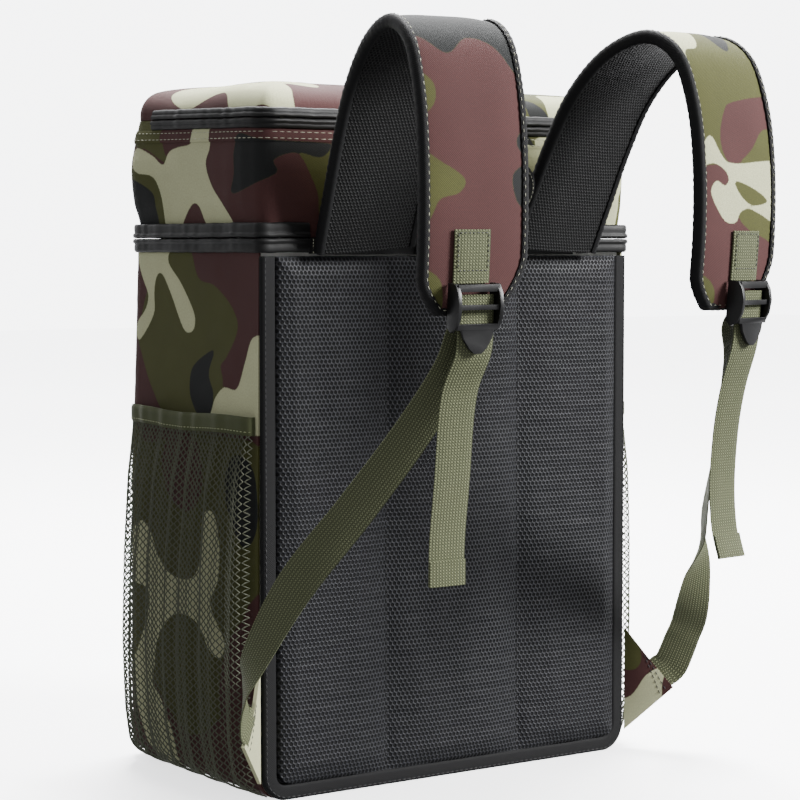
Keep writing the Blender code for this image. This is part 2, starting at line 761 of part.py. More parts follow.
def make_buckle(side):
    """A ladder-lock buckle: two curved side flanges, a top bar, a middle bar and a lower bar with its tongue."""
    frame = buckle_frame(side)
    origin, across, down, normal = frame
    half = BUCKLE_WIDTH / 2
    clear = half - FLANGE
    profile = [(0.0, 0.0), (0.026, 0.0), (0.029, 0.004), (0.026, 0.009), (0.020, 0.0118)]
    profile += [(0.012, BUCKLE_DEPTH + 0.0008), (0.005, 0.0112), (0.0, 0.0080)]
    pieces = []
    for low, high in ((-half, -clear), (clear, half)):
        rings = [[tuple(origin + across * u + down * v + normal * d) for v, d in profile] for u in (low, high)]
        pieces.append(ring_body("flange", rings, BLACK, roughness=0.4))
    wide = (-clear - 0.001, clear + 0.001)
    pieces.append(placed_block("bar", frame, wide, (0.0002, 0.0045), (0.0070, 0.0095)))
    pieces.append(placed_block("bar", frame, wide, (0.0120, 0.0150), (0.0085, 0.0110)))
    pieces.append(placed_block("bar", frame, wide, (0.0235, 0.0270), (0.0070, 0.0100)))
    tongue = []
    for v, width in ((0.0245, 0.0120), (0.0320, 0.0100), (0.0380, 0.0060), (TONGUE_DROP, 0.0025)):
        at = origin + down * v
        lift = 0.0075 + 0.06 * (v - 0.0245)
        corners = ((-width, lift), (width, lift), (width, lift + 0.0022), (-width, lift + 0.0022))
        tongue.append([tuple(at + across * i + normal * j) for i, j in corners])
    pieces.append(ring_body("tongue", tongue, BLACK, roughness=0.4))
    buckle = union(pieces[0], pieces[1:])
    buckle.name = "buckle_" + side


def web_band(name, points, widths, thick, colour):
    """A flat webbing along points, given its width direction at each."""
    rings = []
    for i, (point, width) in enumerate(zip(points, widths)):
        tangent = (points[min(i + 1, len(points) - 1)] - points[max(i - 1, 0)]).normalized()
        across = (width - tangent * width.dot(tangent)).normalized()
        normal = tangent.cross(across).normalized()
        a, b = point - across * (WEB / 2), point + across * (WEB / 2)
        off = normal * (thick / 2)
        rings.append([tuple(v) for v in (a - off, b - off, b + off, a + off)])
    return ring_body(name, rings, colour)


def make_tail(side):
    """The loose end of the webbing, hanging out of the buckle, with its turned-up end."""
    origin, across, down, normal = buckle_frame(side)
    flat = Vector((-across.y, across.x, 0.0)).normalized()
    hung = []
    for p, z in TAIL_LINE[side]:
        ahead = (BACK_Y - p - origin.y) / flat.y
        drift = across * (SIGN[side] * TAIL_DRIFT[side] * (origin.z - z) / (origin.z - 0.158))
        hung.append(Vector((origin.x + flat.x * ahead, origin.y + flat.y * ahead, z)) + drift)
    inside = [origin + down * v + normal * WEB_IN_BUCKLE for v in (0.0060, TAIL_PIVOT - 0.0020)]
    web_band("buckle_web_" + side, inside, [across] * 2, WEB_THICK, OLIVE)
    points = curve_through([origin + down * TAIL_PIVOT + normal * WEB_IN_BUCKLE] + hung, 4)
    web_band("web_tail_" + side, points, [across] * len(points), WEB_THICK, OLIVE)


def make_lower_web(side):
    """The webbing from the tab at the bag's corner up to the buckle."""
    sign = SIGN[side]
    tip, edge, away = tab_frame(sign)
    origin, across, down, normal = buckle_frame(side)
    end = origin + down * 0.0185 + normal * 0.0022
    start = tip + away * 0.0016
    given = [start, start + away * 0.008] + [Vector((sign * x, y, z)) for x, y, z in LOWER_WEB_LINE]
    given += [end + down * 0.0115 - normal * 0.0060, end]
    points = curve_through(given, 4)
    twist = [(0.0, edge)] + [(share, Vector(way)) for share, way in LOWER_WEB_TWIST[side]] + [(1.0, across)]
    widths = [interpolate(twist, i / (len(points) - 1)).normalized() for i in range(len(points))]
    web_band("lower_web_" + side, points, widths, WEB_THICK, OLIVE)


def make_haul_loop():
    """The carrying loop sewn into the back seam between the straps."""
    inner = LOOP_OUTER - LOOP_BAND
    inner_foot = LOOP_FOOT - LOOP_BAND
    plan = [(LOOP_FOOT, 0.0)] + arc((0.0, LOOP_SHANK), LOOP_OUTER, 0, 180, 10) + [(-LOOP_FOOT, 0.0)]
    plan += [(-inner_foot, 0.0)] + arc((0.0, LOOP_SHANK), inner, 180, 0, 10) + [(inner_foot, 0.0)]
    up = Vector((0.0, -math.sin(LOOP_LEAN), math.cos(LOOP_LEAN)))
    out = Vector((0.0, -math.cos(LOOP_LEAN), -math.sin(LOOP_LEAN)))
    foot = Vector((0.0, BACK_Y - 0.0010, SEAM_Z + 0.0030))
    rings = [
        [tuple(foot + Vector((x, 0.0, 0.0)) + up * v + out * d) for x, v in plan] for d in (0.0, LOOP_THICK)
    ]
    ring_body("haul_loop", rings, BLACK)


# ---------------------------------------------------------------- zip sliders


def make_slider(name, centre, out, colour):
    """A zip slider and the pull that hangs from it, on a face that looks along out."""
    wide, deep, tall = SLIDER
    normal = Vector(out)
    across = Vector((0, 0, 1)).cross(normal)
    foot = Vector(centre)
    plan = [(-wide / 2, 0.0), (wide / 2, 0.0), (wide / 2 - 0.0012, deep), (-wide / 2 + 0.0012, deep)]
    rings = []
    for z, grow in ((-tall / 2, 0.75), (-tall / 4, 1.0), (tall / 4, 1.0), (tall / 2, 0.6)):
        rings.append([tuple(foot + across * (u * grow) + normal * d + Vector((0, 0, z))) for u, d in plan])
    ring_body(name + "_slider", rings, colour, roughness=0.35, metallic=0.8)
    w, t, drop = PULL
    near = deep + GAP
    rings = []
    for z, grow in ((0.0, 0.6), (-0.006, 0.75), (-0.010, 1.0), (-drop, 1.0)):
        plan = [(-w / 2 * grow, near), (w / 2 * grow, near), (w / 2 * grow, near + t), (-w / 2 * grow, near + t)]
        rings.append([tuple(foot + across * u + normal * d + Vector((0, 0, z))) for u, d in plan])
    ring_body(name + "_pull", rings, colour)


def make_sliders():
    """The sliders of the main zip, the top zip and the front pocket."""
    front = DEPTH / 2 + ZIP_PROUD + GAP
    for side, sign in SIGN.items():
        make_slider("main_zip_" + side, (sign * 0.009, front, ZIP_SPLIT_Z), (0, 1, 0), BLACK)
    split = TOP_ZIP_SPLIT_Z
    top_x = WIDTH / 2 - upper_taper(TOP_ZIP_LOW_Z - FRONT_RISE) + TOP_ZIP_PROUD + GAP
    y = TOP_ZIP_END_Y - 0.010
    make_slider("top_zip", (top_x, y, rise(y, split)), (1, 0, 0), BLACK)
    z = FRONT_POCKET_TOP_Z + 0.0063
    y = lower_sides(FRONT_POCKET_TOP_Z)[2] + 0.0032 + GAP
    make_slider("front_pocket", (-POCKET_HALF + 0.015, y, z), (0, 1, 0), BLACK)


def clear_scene():
    """Removes the objects of the open file."""
    for piece in list(bpy.data.objects):
        bpy.data.objects.remove(piece)


def main():
    clear_scene()
    make_walls()
    make_back()
    make_inner_tubs()
    make_main_zip()
    make_side_pockets()
    make_tabs()
    make_front_pocket()
    make_upper_section()
    make_top_lid()
    make_straps()
    for side in SIGN:
        make_anchor(side)
        make_buckle(side)
        make_tail(side)
        make_lower_web(side)
    make_haul_loop()
    make_sliders()


main()
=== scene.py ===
import math

import bmesh
import bpy
import numpy as np
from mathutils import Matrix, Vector, noise


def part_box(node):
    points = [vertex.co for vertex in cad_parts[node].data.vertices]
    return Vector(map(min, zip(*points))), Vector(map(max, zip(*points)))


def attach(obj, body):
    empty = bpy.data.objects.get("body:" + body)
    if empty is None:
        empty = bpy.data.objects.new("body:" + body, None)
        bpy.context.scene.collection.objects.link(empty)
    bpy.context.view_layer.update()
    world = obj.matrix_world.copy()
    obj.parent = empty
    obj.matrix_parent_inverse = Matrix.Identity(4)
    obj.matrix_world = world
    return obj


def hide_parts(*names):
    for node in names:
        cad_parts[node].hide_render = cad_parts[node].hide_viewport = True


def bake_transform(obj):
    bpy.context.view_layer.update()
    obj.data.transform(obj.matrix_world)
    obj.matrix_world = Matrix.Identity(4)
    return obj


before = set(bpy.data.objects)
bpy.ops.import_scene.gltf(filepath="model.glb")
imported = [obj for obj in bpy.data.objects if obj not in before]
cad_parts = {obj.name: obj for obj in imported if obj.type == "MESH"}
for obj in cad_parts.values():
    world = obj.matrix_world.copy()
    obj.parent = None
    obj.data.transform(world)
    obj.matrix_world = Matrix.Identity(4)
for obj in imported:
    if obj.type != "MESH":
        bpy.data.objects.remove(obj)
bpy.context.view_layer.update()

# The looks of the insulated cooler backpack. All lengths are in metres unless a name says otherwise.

# ---------------------------------------------------------------- sizes, from the frame

SIDES = {"left": -1, "right": 1}
binding_low, binding_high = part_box("back_binding")
HALF = binding_high[0]
BACK_Y = binding_low[1]
SEAM_Z = binding_high[2]
DEPTH = -2 * BACK_Y
ZIP_LOW_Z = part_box("main_zip_lower_tape")[0][2]
ZIP_SPLIT_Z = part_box("main_zip_lower_tape")[1][2]
ZIP_TOP_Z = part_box("main_zip_upper_tape")[1][2]
ZIP_END_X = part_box("zip_end_right")[1][0]
POCKET_TOP_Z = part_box("pocket_hem_left")[0][2]
POCKET_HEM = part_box("pocket_hem_left")[1][2] - POCKET_TOP_Z
POCKET_BACK_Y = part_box("pocket_net_left")[0][1]
POCKET_FRONT_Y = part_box("pocket_net_left")[1][1]

CORNER_FRONT = 0.018
CORNER_BACK = 0.004
BOTTOM_RADIUS = 0.018
FABRIC = 0.0015
MM = 0.001

rng = np.random.default_rng(7)


# ---------------------------------------------------------------- mesh helpers


def new_object(name, vertices, faces, material, body, attributes=None, sharp=50):
    """A closed mesh with outward normals, smooth shading, a material and a body to ride on."""
    mesh = bpy.data.meshes.new(name)
    mesh.from_pydata([tuple(v) for v in vertices], [], faces)
    for key, values in (attributes or {}).items():
        values = np.asarray(values, dtype=np.float32)
        kind = "FLOAT_VECTOR" if values.ndim == 2 else "FLOAT"
        field = "vector" if values.ndim == 2 else "value"
        mesh.attributes.new(key, kind, "POINT").data.foreach_set(field, values.ravel())
    bm = bmesh.new()
    bm.from_mesh(mesh)
    bmesh.ops.recalc_face_normals(bm, faces=bm.faces)
    bm.to_mesh(mesh)
    bm.free()
    mesh.shade_smooth()
    mesh.set_sharp_from_angle(angle=math.radians(sharp))
    piece = bpy.data.objects.new(name, mesh)
    bpy.context.collection.objects.link(piece)
    mesh.materials.append(material)
    if body:
        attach(piece, body)
    return piece


def quads(rows, columns, wrap, start=0):
    """The quads of a grid of vertices stored row by row."""
    last = columns if wrap else columns - 1
    i, j = np.meshgrid(np.arange(rows - 1), np.arange(last), indexing="ij")
    k = (j + 1) % columns
    corners = [i * columns + j, i * columns + k, (i + 1) * columns + k, (i + 1) * columns + j]
    return (np.stack(corners, axis=-1).reshape(-1, 4) + start).tolist()


def shell(outer, inner, wrap=False):
    """Vertices and faces of a closed sheet between two grids of points of shape (rows, columns, 3)."""
    rows, columns = outer.shape[:2]
    size = rows * columns
    faces = quads(rows, columns, wrap) + [f[::-1] for f in quads(rows, columns, wrap, size)]
    last = columns if wrap else columns - 1
    for row in (0, rows - 1):
        for j in range(last):
            a, b = row * columns + j, row * columns + (j + 1) % columns
            faces.append([a, b, b + size, a + size])
    if not wrap:
        for column in (0, columns - 1):
            for i in range(rows - 1):
                a, b = i * columns + column, (i + 1) * columns + column
                faces.append([a, b, b + size, a + size])
    return np.concatenate([outer.reshape(-1, 3), inner.reshape(-1, 3)]), faces


def tube(rings):
    """Vertices and faces of a skin over closed rings of shape (rings, points, 3), with its ends capped."""
    rows, columns = rings.shape[:2]
    faces = quads(rows, columns, True)
    faces.append(list(range(columns)))
    faces.append(list(range((rows - 1) * columns, rows * columns)))
    return rings.reshape(-1, 3), faces


def smooth_line(points, steps=8, closed=False):
    """A Catmull-Rom curve through points of any dimension."""
    p = np.asarray(points, dtype=float)
    if closed:
        p = np.concatenate([p[-1:], p, p[:2]])
    else:
        p = np.concatenate([[2 * p[0] - p[1]], p, [2 * p[-1] - p[-2]]])
    t = (np.arange(steps) / steps)[:, None]
    made = []
    for a, b, c, d in zip(p, p[1:], p[2:], p[3:]):
        made.append(
            0.5 * (2 * b + (c - a) * t + (2 * a - 5 * b + 4 * c - d) * t**2 + (3 * b - a - 3 * c + d) * t**3)
        )
    line = np.concatenate(made)
    return line if closed else np.concatenate([line, p[-2:-1]])


def resample(line, count):
    """A line's points spread evenly along it, and the distance of each from its start."""
    steps = np.linalg.norm(np.diff(line, axis=0), axis=1)
    along = np.concatenate([[0], np.cumsum(steps)])
    wanted = np.linspace(0, along[-1], count)
    return np.stack([np.interp(wanted, along, line[:, k]) for k in range(line.shape[1])], axis=1), wanted


def unit(v):
    """Vectors scaled to length one."""
    v = np.asarray(v, dtype=float)
    return v / np.maximum(np.linalg.norm(v, axis=-1, keepdims=True), 1e-12)


def arc(centre, radius, start, stop, steps=8):
    """Points of an arc, with angles in degrees."""
    a = np.radians(np.linspace(start, stop, steps + 1))
    return np.stack([centre[0] + radius * np.cos(a), centre[1] + radius * np.sin(a)], axis=1)


def ripple(points, size, height, seed=0.0):
    """Smooth noise at points, of a size and a height."""
    return np.array([height * noise.noise(Vector(p) / size + Vector((seed, seed, seed))) for p in points])


# ---------------------------------------------------------------- camouflage


def distance_to(points, outline):
    """The signed distance in mm from points to a closed outline, negative inside and at most 8."""
    line = smooth_line(outline, 5, closed=True)
    best = np.full(len(points), 8.0)
    low, high = line.min(axis=0) - 8, line.max(axis=0) + 8
    near = np.flatnonzero(np.all((points > low) & (points < high), axis=1))
    if not len(near):
        return best
    at = points[near]
    a = line
    b = np.roll(line, -1, axis=0)
    edge = b - a
    gap = at[:, None, :] - a[None, :, :]
    share = np.clip(np.sum(gap * edge, axis=2) / np.maximum(np.sum(edge * edge, axis=1), 1e-9), 0, 1)
    far = np.linalg.norm(gap - share[..., None] * edge, axis=2).min(axis=1)
    crosses = (a[None, :, 1] > at[:, 1:]) != (b[None, :, 1] > at[:, 1:])
    slope = edge[:, 0] / np.where(np.abs(edge[:, 1]) < 1e-9, 1e-9, edge[:, 1])
    left = at[:, :1] < a[None, :, 0] + (at[:, 1:] - a[None, :, 1]) * slope
    inside = np.sum(crosses & left, axis=1) % 2 == 1
    best[near] = np.where(inside, -np.minimum(far, 8), np.minimum(far, 8))
    return best


def camouflage(points, base, shapes):
    """Each colour's signed field at points in mm: negative where the print has that colour."""
    names = ("olive", "maroon", "slate", "cream")
    fields = {n: np.full(len(points), -60.0 if n == base else 60.0) for n in names}
    for colour, outline in shapes:
        d = distance_to(points, outline)
        for n in names:
            fields[n] = np.minimum(fields[n], d) if n == colour else np.maximum(fields[n], -d)
    return {"camo_" + n: fields[n] for n in names if n != "olive"}


def blob(centre, size, lobes, depth, stretch, turn, phase):
    """An outline with rounded limbs."""
    a = np.linspace(0, 2 * math.pi, 15)[:-1]
    r = size * (1 + depth * np.sin(lobes * a + phase) + 0.3 * depth * np.sin((lobes + 2) * a + 2.1 * phase))
    x, y = r * np.cos(a) * stretch, r * np.sin(a) / stretch
    c, s = math.cos(turn), math.sin(turn)
    return np.stack([centre[0] + c * x - s * y, centre[1] + s * x + c * y], axis=1)


def scattered(low, high, seed):
    """Woodland shapes spread over a rectangle in mm."""
    dice = np.random.default_rng(seed)
    shapes = []
    for colour, pitch, size, depth in (
        ("olive", 104, 40, 0.30),
        ("slate", 96, 19, 0.30),
        ("maroon", 150, 30, 0.30),
        ("cream", 118, 24, 0.36),
    ):
        for x in np.arange(low[0], high[0] + pitch, pitch):
            for y in np.arange(low[1], high[1] + pitch, pitch * 0.8):
                at = (x + dice.uniform(-0.36, 0.36) * pitch, y + dice.uniform(-0.36, 0.36) * pitch)
                lobes = dice.integers(2, 5)
                turn, phase = dice.uniform(0, math.pi), dice.uniform(0, 6)
                shapes.append(
                    (colour, blob(at, size * dice.uniform(0.75, 1.25), lobes, depth, dice.uniform(1.2, 1.9), turn, phase))
                )
    return shapes


# Each outline is (distance along the cloth, height) in mm. On the body, the distance runs from the back left edge.
LOWER_SIDE = [
    ("maroon", [(-30, -30), (80, -36), (186, -30), (192, 170), (186, 380), (80, 386), (-30, 380), (-36, 170)]),
    ("olive", [(118, 362), (93, 362), (80, 340), (58, 335), (36, 321), (29, 307), (42, 289), (50, 282), (47, 271),
               (55, 256), (57, 240), (112, 240), (141, 261), (158, 287), (162, 300), (150, 330), (132, 345)]),
    ("slate", [(59, 291), (66, 276), (59, 263), (66, 246), (76, 246), (90, 261), (88, 279), (68, 290)]),
    ("cream", [(166, 366), (116, 366), (121, 351), (103, 336), (86, 317), (85, 307), (92, 303), (101, 307),
               (117, 329), (129, 342), (137, 340), (140, 328), (141, 314), (161, 296), (166, 306), (152, 318),
               (149, 329), (160, 345)]),
    ("cream", [(10, 302), (-8, 297), (-8, 243), (57, 243), (60, 256), (47, 268), (30, 268), (20, 285)]),
    ("olive", [(175, 240), (150, 225), (100, 235), (40, 236), (-5, 225), (-5, 150), (20, 120), (40, 60), (90, 30),
               (140, 60), (176, 90)]),
    ("maroon", [(112, 236), (80, 230), (74, 200), (92, 182), (118, 190), (128, 215)]),
    ("slate", [(30, 225), (8, 215), (4, 180), (20, 165), (40, 185), (44, 210)]),
    ("maroon", [(40, 100), (10, 120), (-6, 90), (-6, 30), (30, 20), (52, 60)]),
    ("cream", [(150, 168), (126, 140), (92, 136), (76, 152), (74, 180), (60, 184), (52, 164), (54, 140), (64, 122),
               (46, 100), (52, 88), (66, 92), (82, 108), (110, 110), (134, 90), (142, 62), (160, 50), (168, 70),
               (150, 104), (150, 122), (172, 128), (178, 150), (166, 166)]),
    ("cream", [(172, 74), (140, 58), (116, 30), (112, 6), (136, 0), (166, 40)]),
]
UPPER_SIDE = [
    ("maroon", [(-108, 350), (40, 344), (186, 350), (190, 400), (186, 460), (40, 466), (-108, 460), (-112, 400)]),
    ("olive", [(158, 446), (126, 446), (128, 432), (120, 416), (146, 424), (166, 428), (166, 446)]),
    ("olive", [(172, 412), (136, 407), (126, 390), (120, 370), (172, 370)]),
    ("slate", [(172, 404), (142, 398), (136, 388), (138, 370), (172, 370)]),
    ("slate", [(24, 433), (0, 429), (-51, 427), (-52, 419), (-35, 418), (-20, 421), (-6, 416), (-8, 408), (11, 400),
               (33, 395), (30, 408), (30, 422)]),
    ("olive", [(-26, 421), (-44, 419), (-60, 436), (-100, 440), (-100, 370), (-46, 374), (-39, 396), (-30, 414)]),
    ("cream", [(85, 444), (67, 444), (62, 426), (67, 414), (60, 400), (43, 386), (36, 372), (66, 372), (78, 387),
               (88, 388), (102, 376), (104, 370), (124, 370), (127, 391), (137, 406), (156, 409), (164, 415),
               (160, 425), (138, 420), (124, 414), (116, 422), (104, 425), (88, 427), (85, 434)]),
]
# Each outline is (distance across, distance along the strap from its base) in mm.
STRAP_LEFT = [
    ("maroon", [(-60, 140), (0, 136), (60, 140), (66, 270), (60, 400), (0, 406), (-60, 400), (-66, 270)]),
    ("slate", [(-50, 140), (50, 140), (50, 246), (34, 236), (20, 219), (2, 215), (-14, 226), (-28, 218), (-50, 202)]),
    ("olive", [(-12, 150), (50, 140), (50, 170), (24, 176), (8, 188), (-6, 180)]),
    ("olive", [(-50, 232), (-31, 240), (-26, 249), (-31, 260), (-50, 268)]),
    ("olive", [(-50, 281), (-24, 290), (-9, 299), (-13, 307), (-26, 311), (-32, 322), (-44, 338), (-50, 340)]),
    ("slate", [(50, 288), (27, 294), (27, 308), (34, 316), (50, 322)]),
    ("slate", [(50, 264), (31, 272), (32, 282), (50, 286)]),
    ("olive", [(-50, 347), (-30, 353), (-23, 362), (-24, 380), (-38, 388), (-50, 380)]),
]
STRAP_RIGHT = [
    ("olive", [(-60, 130), (0, 126), (60, 130), (66, 270), (60, 400), (0, 406), (-60, 400), (-66, 270)]),
    ("cream", [(-50, 130), (6, 135), (12, 165), (-2, 190), (-16, 210), (-29, 213), (-36, 226), (-50, 236)]),
    ("slate", [(16, 164), (34, 160), (30, 190), (14, 212), (6, 207), (8, 188)]),
    ("maroon", [(50, 242), (0, 247), (-12, 254), (-18, 270), (-14, 283), (-4, 286), (12, 277), (26, 264), (50, 262)]),
    ("maroon", [(-55, 292), (55, 300), (55, 400), (-18, 400), (-20, 368), (-32, 356), (-55, 350)]),
    ("cream", [(-52, 272), (-45, 284), (-39, 286), (-33, 274), (-26, 269), (-17, 282), (-5, 286), (52, 286), (52, 326),
               (22, 318), (8, 314), (0, 317), (-5, 323), (-15, 322), (-24, 312), (-28, 303), (-23, 297), (-16, 300),
               (-12, 296), (-16, 290), (-26, 286), (-36, 290), (-52, 304)]),
    ("olive", [(-6, 297), (12, 301), (28, 309), (12, 312), (0, 306)]),
    ("olive", [(-2, 319), (8, 314), (26, 320), (52, 328), (52, 340), (20, 331), (8, 327)]),
]


# ---------------------------------------------------------------- materials


def linear(r, g, b):
    """A colour given as it is seen, from 0 to 255, in linear light."""
    return tuple(((c / 255 + 0.055) / 1.055) ** 2.4 if c > 10 else c / 255 / 12.92 for c in (r, g, b)) + (1.0,)


class Graph:
    """A material's node tree, with short calls for the nodes used here."""

    def __init__(self, name, roughness=0.8, **sockets):
        self.material = bpy.data.materials.new(name)
        self.material.use_nodes = True
        self.tree = self.material.node_tree
        self.shader = self.tree.nodes["Principled BSDF"]
        self.shader.inputs["Roughness"].default_value = roughness
        for key, value in sockets.items():
            self.shader.inputs[key.replace("_", " ")].default_value = value

    def put(self, socket, value):
        """Links a value that is a socket, and sets one that is a number or a colour."""
        if isinstance(value, bpy.types.NodeSocket):
            self.tree.links.new(value, socket)
        else:
            socket.default_value = value

    def attribute(self, name, output="Fac"):
        node = self.tree.nodes.new("ShaderNodeAttribute")
        node.attribute_name = name
        return node.outputs[output]

    def place(self):
        """The object's own coordinates, in metres."""
        return self.tree.nodes.new("ShaderNodeTexCoord").outputs["Object"]

    def split(self, vector):
        node = self.tree.nodes.new("ShaderNodeSeparateXYZ")
        self.put(node.inputs[0], vector)
        return node.outputs

    def math(self, operation, a, b=0.0, c=0.0, clamp=False):
        node = self.tree.nodes.new("ShaderNodeMath")
        node.operation = operation
        node.use_clamp = clamp
        for socket, value in zip(node.inputs, (a, b, c)):
            self.put(socket, value)
        return node.outputs[0]

    def noise(self, vector, scale, detail=2.0, roughness=0.5):
        node = self.tree.nodes.new("ShaderNodeTexNoise")
        self.put(node.inputs["Vector"], vector)
        node.inputs["Scale"].default_value = scale
        node.inputs["Detail"].default_value = detail
        node.inputs["Roughness"].default_value = roughness
        return node.outputs["Fac"]

    def map(self, value, low, high, to_low=0.0, to_high=1.0):
        node = self.tree.nodes.new("ShaderNodeMapRange")
        for key, number in (("Value", value), ("From Min", low), ("From Max", high)):
            self.put(node.inputs[key], number)
        node.inputs["To Min"].default_value = to_low
        node.inputs["To Max"].default_value = to_high
        return node.outputs["Result"]

    def mix(self, share, a, b, blend="MIX"):
        node = self.tree.nodes.new("ShaderNodeMix")
        node.data_type = "RGBA"
        node.blend_type = blend
        self.put(node.inputs["Factor"], share)
        self.put(node.inputs[6], a)
        self.put(node.inputs[7], b)
        return node.outputs[2]

    def colour(self, value):
        self.put(self.shader.inputs["Base Color"], value)

    def rough(self, value):
        self.put(self.shader.inputs["Roughness"], value)

    def bump(self, height, distance, strength=1.0):
        node = self.tree.nodes.new("ShaderNodeBump")
        node.inputs["Strength"].default_value = strength
        node.inputs["Distance"].default_value = distance
        self.put(node.inputs["Height"], height)
        previous = self.shader.inputs["Normal"]
        if previous.is_linked:
            self.tree.links.new(previous.links[0].from_socket, node.inputs["Normal"])
        self.tree.links.new(node.outputs["Normal"], previous)


def weave(graph, cloth, pitch):
    """Plain-weave threads over cloth coordinates: from 0 between threads to 1 on their crowns."""
    u, v, _ = graph.split(cloth)
    turns = 2 * math.pi / pitch
    warp = graph.math("SINE", graph.math("MULTIPLY", u, turns))
    weft = graph.math("SINE", graph.math("MULTIPLY", v, turns))
    return graph.math("MULTIPLY_ADD", graph.math("MULTIPLY", warp, weft), 0.5, 0.5)


CREAM = linear(158, 159, 128)
OLIVE = linear(62, 63, 33)
MAROON = linear(62, 38, 37)
SLATE = linear(25, 26, 26)


def camo_material(name, pitch, grain):
    """Printed polyester canvas. The print's fields come with the mesh; the weave and the fading are made here."""
    graph = Graph(name, 0.82, Specular_IOR_Level=0.15)
    cloth = graph.attribute("cloth", "Vector")
    wander = graph.math("MULTIPLY", graph.math("SUBTRACT", graph.noise(cloth, 900, 2), 0.5), 1.1)
    colour = OLIVE
    for key, paint in (("maroon", MAROON), ("slate", SLATE), ("cream", CREAM)):
        field = graph.math("ADD", graph.attribute("camo_" + key), wander)
        colour = graph.mix(graph.map(field, 0.35, -0.35), colour, paint)
    threads = weave(graph, cloth, pitch)
    heather = graph.noise(cloth, 800, 4, 0.75)
    fading = graph.noise(cloth, 22, 3, 0.6)
    shade = graph.math("MULTIPLY", graph.map(heather, 0.25, 0.75, 1 - grain, 1 + grain), graph.map(fading, 0.3, 0.7, 0.93, 1.06))
    shade = graph.math("MULTIPLY", shade, graph.map(threads, 0.0, 1.0, 0.90, 1.05))
    graph.colour(graph.mix(1.0, colour, shade, "MULTIPLY"))
    graph.rough(graph.map(heather, 0.2, 0.8, 0.72, 0.92))
    graph.bump(threads, 0.00018, 0.7)
    graph.bump(heather, 0.00015, 0.5)
    return graph.material


def mesh_material(name, pitch, dark, light):
    """Knitted spacer mesh: a honeycomb of holes between raised threads. Its colour is painted light: painted shade in
    the holes and a painted highlight on the thread crowns.
    """
    graph = Graph(name, 0.62, Specular_IOR_Level=0.25)
    cloth = graph.attribute("cloth", "Vector")
    u, v, _ = graph.split(cloth)
    turns = 2 * math.pi / pitch
    total = 0.0
    for angle in (90, 210, 330):
        a = math.radians(angle)
        along = graph.math("ADD", graph.math("MULTIPLY", u, turns * math.cos(a)), graph.math("MULTIPLY", v, turns * math.sin(a) * 0.9))
        total = graph.math("ADD", graph.math("COSINE", along), total)
    threads = graph.map(total, 0.6, -1.2)
    # A noise makes the painted highlight on the thread crowns patchy; the dark colour is painted shade in the holes.
    patchy_sheen = graph.noise(cloth, 260, 3, 0.65)
    lit = graph.math("MULTIPLY", threads, graph.map(patchy_sheen, 0.3, 0.7, 0.35, 1.0))
    graph.colour(graph.mix(lit, dark, light))
    graph.rough(graph.map(threads, 0.0, 1.0, 0.9, 0.5))
    graph.bump(threads, 0.0006, 0.9)
    graph.bump(graph.noise(cloth, 1500, 2), 0.0002, 0.6)
    return graph.material


def webbing_material(name, light, dark):
    """Ribbed webbing: short raised picks in rows."""
    graph = Graph(name, 0.7, Specular_IOR_Level=0.2)
    cloth = graph.attribute("cloth", "Vector")
    u, v, _ = graph.split(cloth)
    across = graph.math("SINE", graph.math("MULTIPLY", u, 2 * math.pi / 0.0021))
    along = graph.math("SINE", graph.math("MULTIPLY", v, 2 * math.pi / 0.0018))
    picks = graph.map(graph.math("MULTIPLY", across, along), -0.5, 0.7)
    rows = graph.map(across, -1.0, 0.2)
    pattern = graph.math("MULTIPLY", picks, rows)
    fibres = graph.noise(cloth, 1600, 3, 0.7)
    shade = graph.mix(pattern, dark, light)
    graph.colour(graph.mix(graph.map(fibres, 0.3, 0.8, 0.0, 0.35), shade, light))
    graph.rough(graph.map(fibres, 0.2, 0.8, 0.6, 0.85))
    graph.bump(pattern, 0.0005, 0.8)
    graph.bump(fibres, 0.0002, 0.5)
    return graph.material


def plain_material(name, colour, roughness, grain_scale, grain, bump, variation=0.12, **sockets):
    """A surface of one base colour with mottling, scuffs and a fine grain."""
    graph = Graph(name, roughness, **sockets)
    place = graph.place()
    fine = graph.noise(place, grain_scale, 3, 0.6)
    broad = graph.noise(place, 35, 3, 0.6)
    shade = graph.math(
        "MULTIPLY", graph.map(fine, 0.3, 0.7, 1 - grain, 1 + grain), graph.map(broad, 0.3, 0.7, 1 - variation, 1 + variation)
    )
    graph.colour(graph.mix(1.0, colour, shade, "MULTIPLY"))
    graph.rough(graph.map(broad, 0.3, 0.7, max(roughness - 0.1, 0.05), min(roughness + 0.1, 1.0)))
    graph.bump(fine, bump, 0.6)
    return graph.material


def tape_material(name, colour, pitch):
    """Narrow woven tape, with fine ribs across it."""
    graph = Graph(name, 0.75, Specular_IOR_Level=0.15)
    cloth = graph.attribute("cloth", "Vector")
    threads = weave(graph, cloth, pitch)
    fibres = graph.noise(cloth, 1500, 3, 0.7)
    shade = graph.math("MULTIPLY", graph.map(threads, 0, 1, 0.8, 1.12), graph.map(fibres, 0.3, 0.7, 0.85, 1.15))
    graph.colour(graph.mix(1.0, colour, shade, "MULTIPLY"))
    graph.rough(graph.map(fibres, 0.2, 0.8, 0.6, 0.85))
    graph.bump(threads, 0.0002, 0.8)
    return graph.material


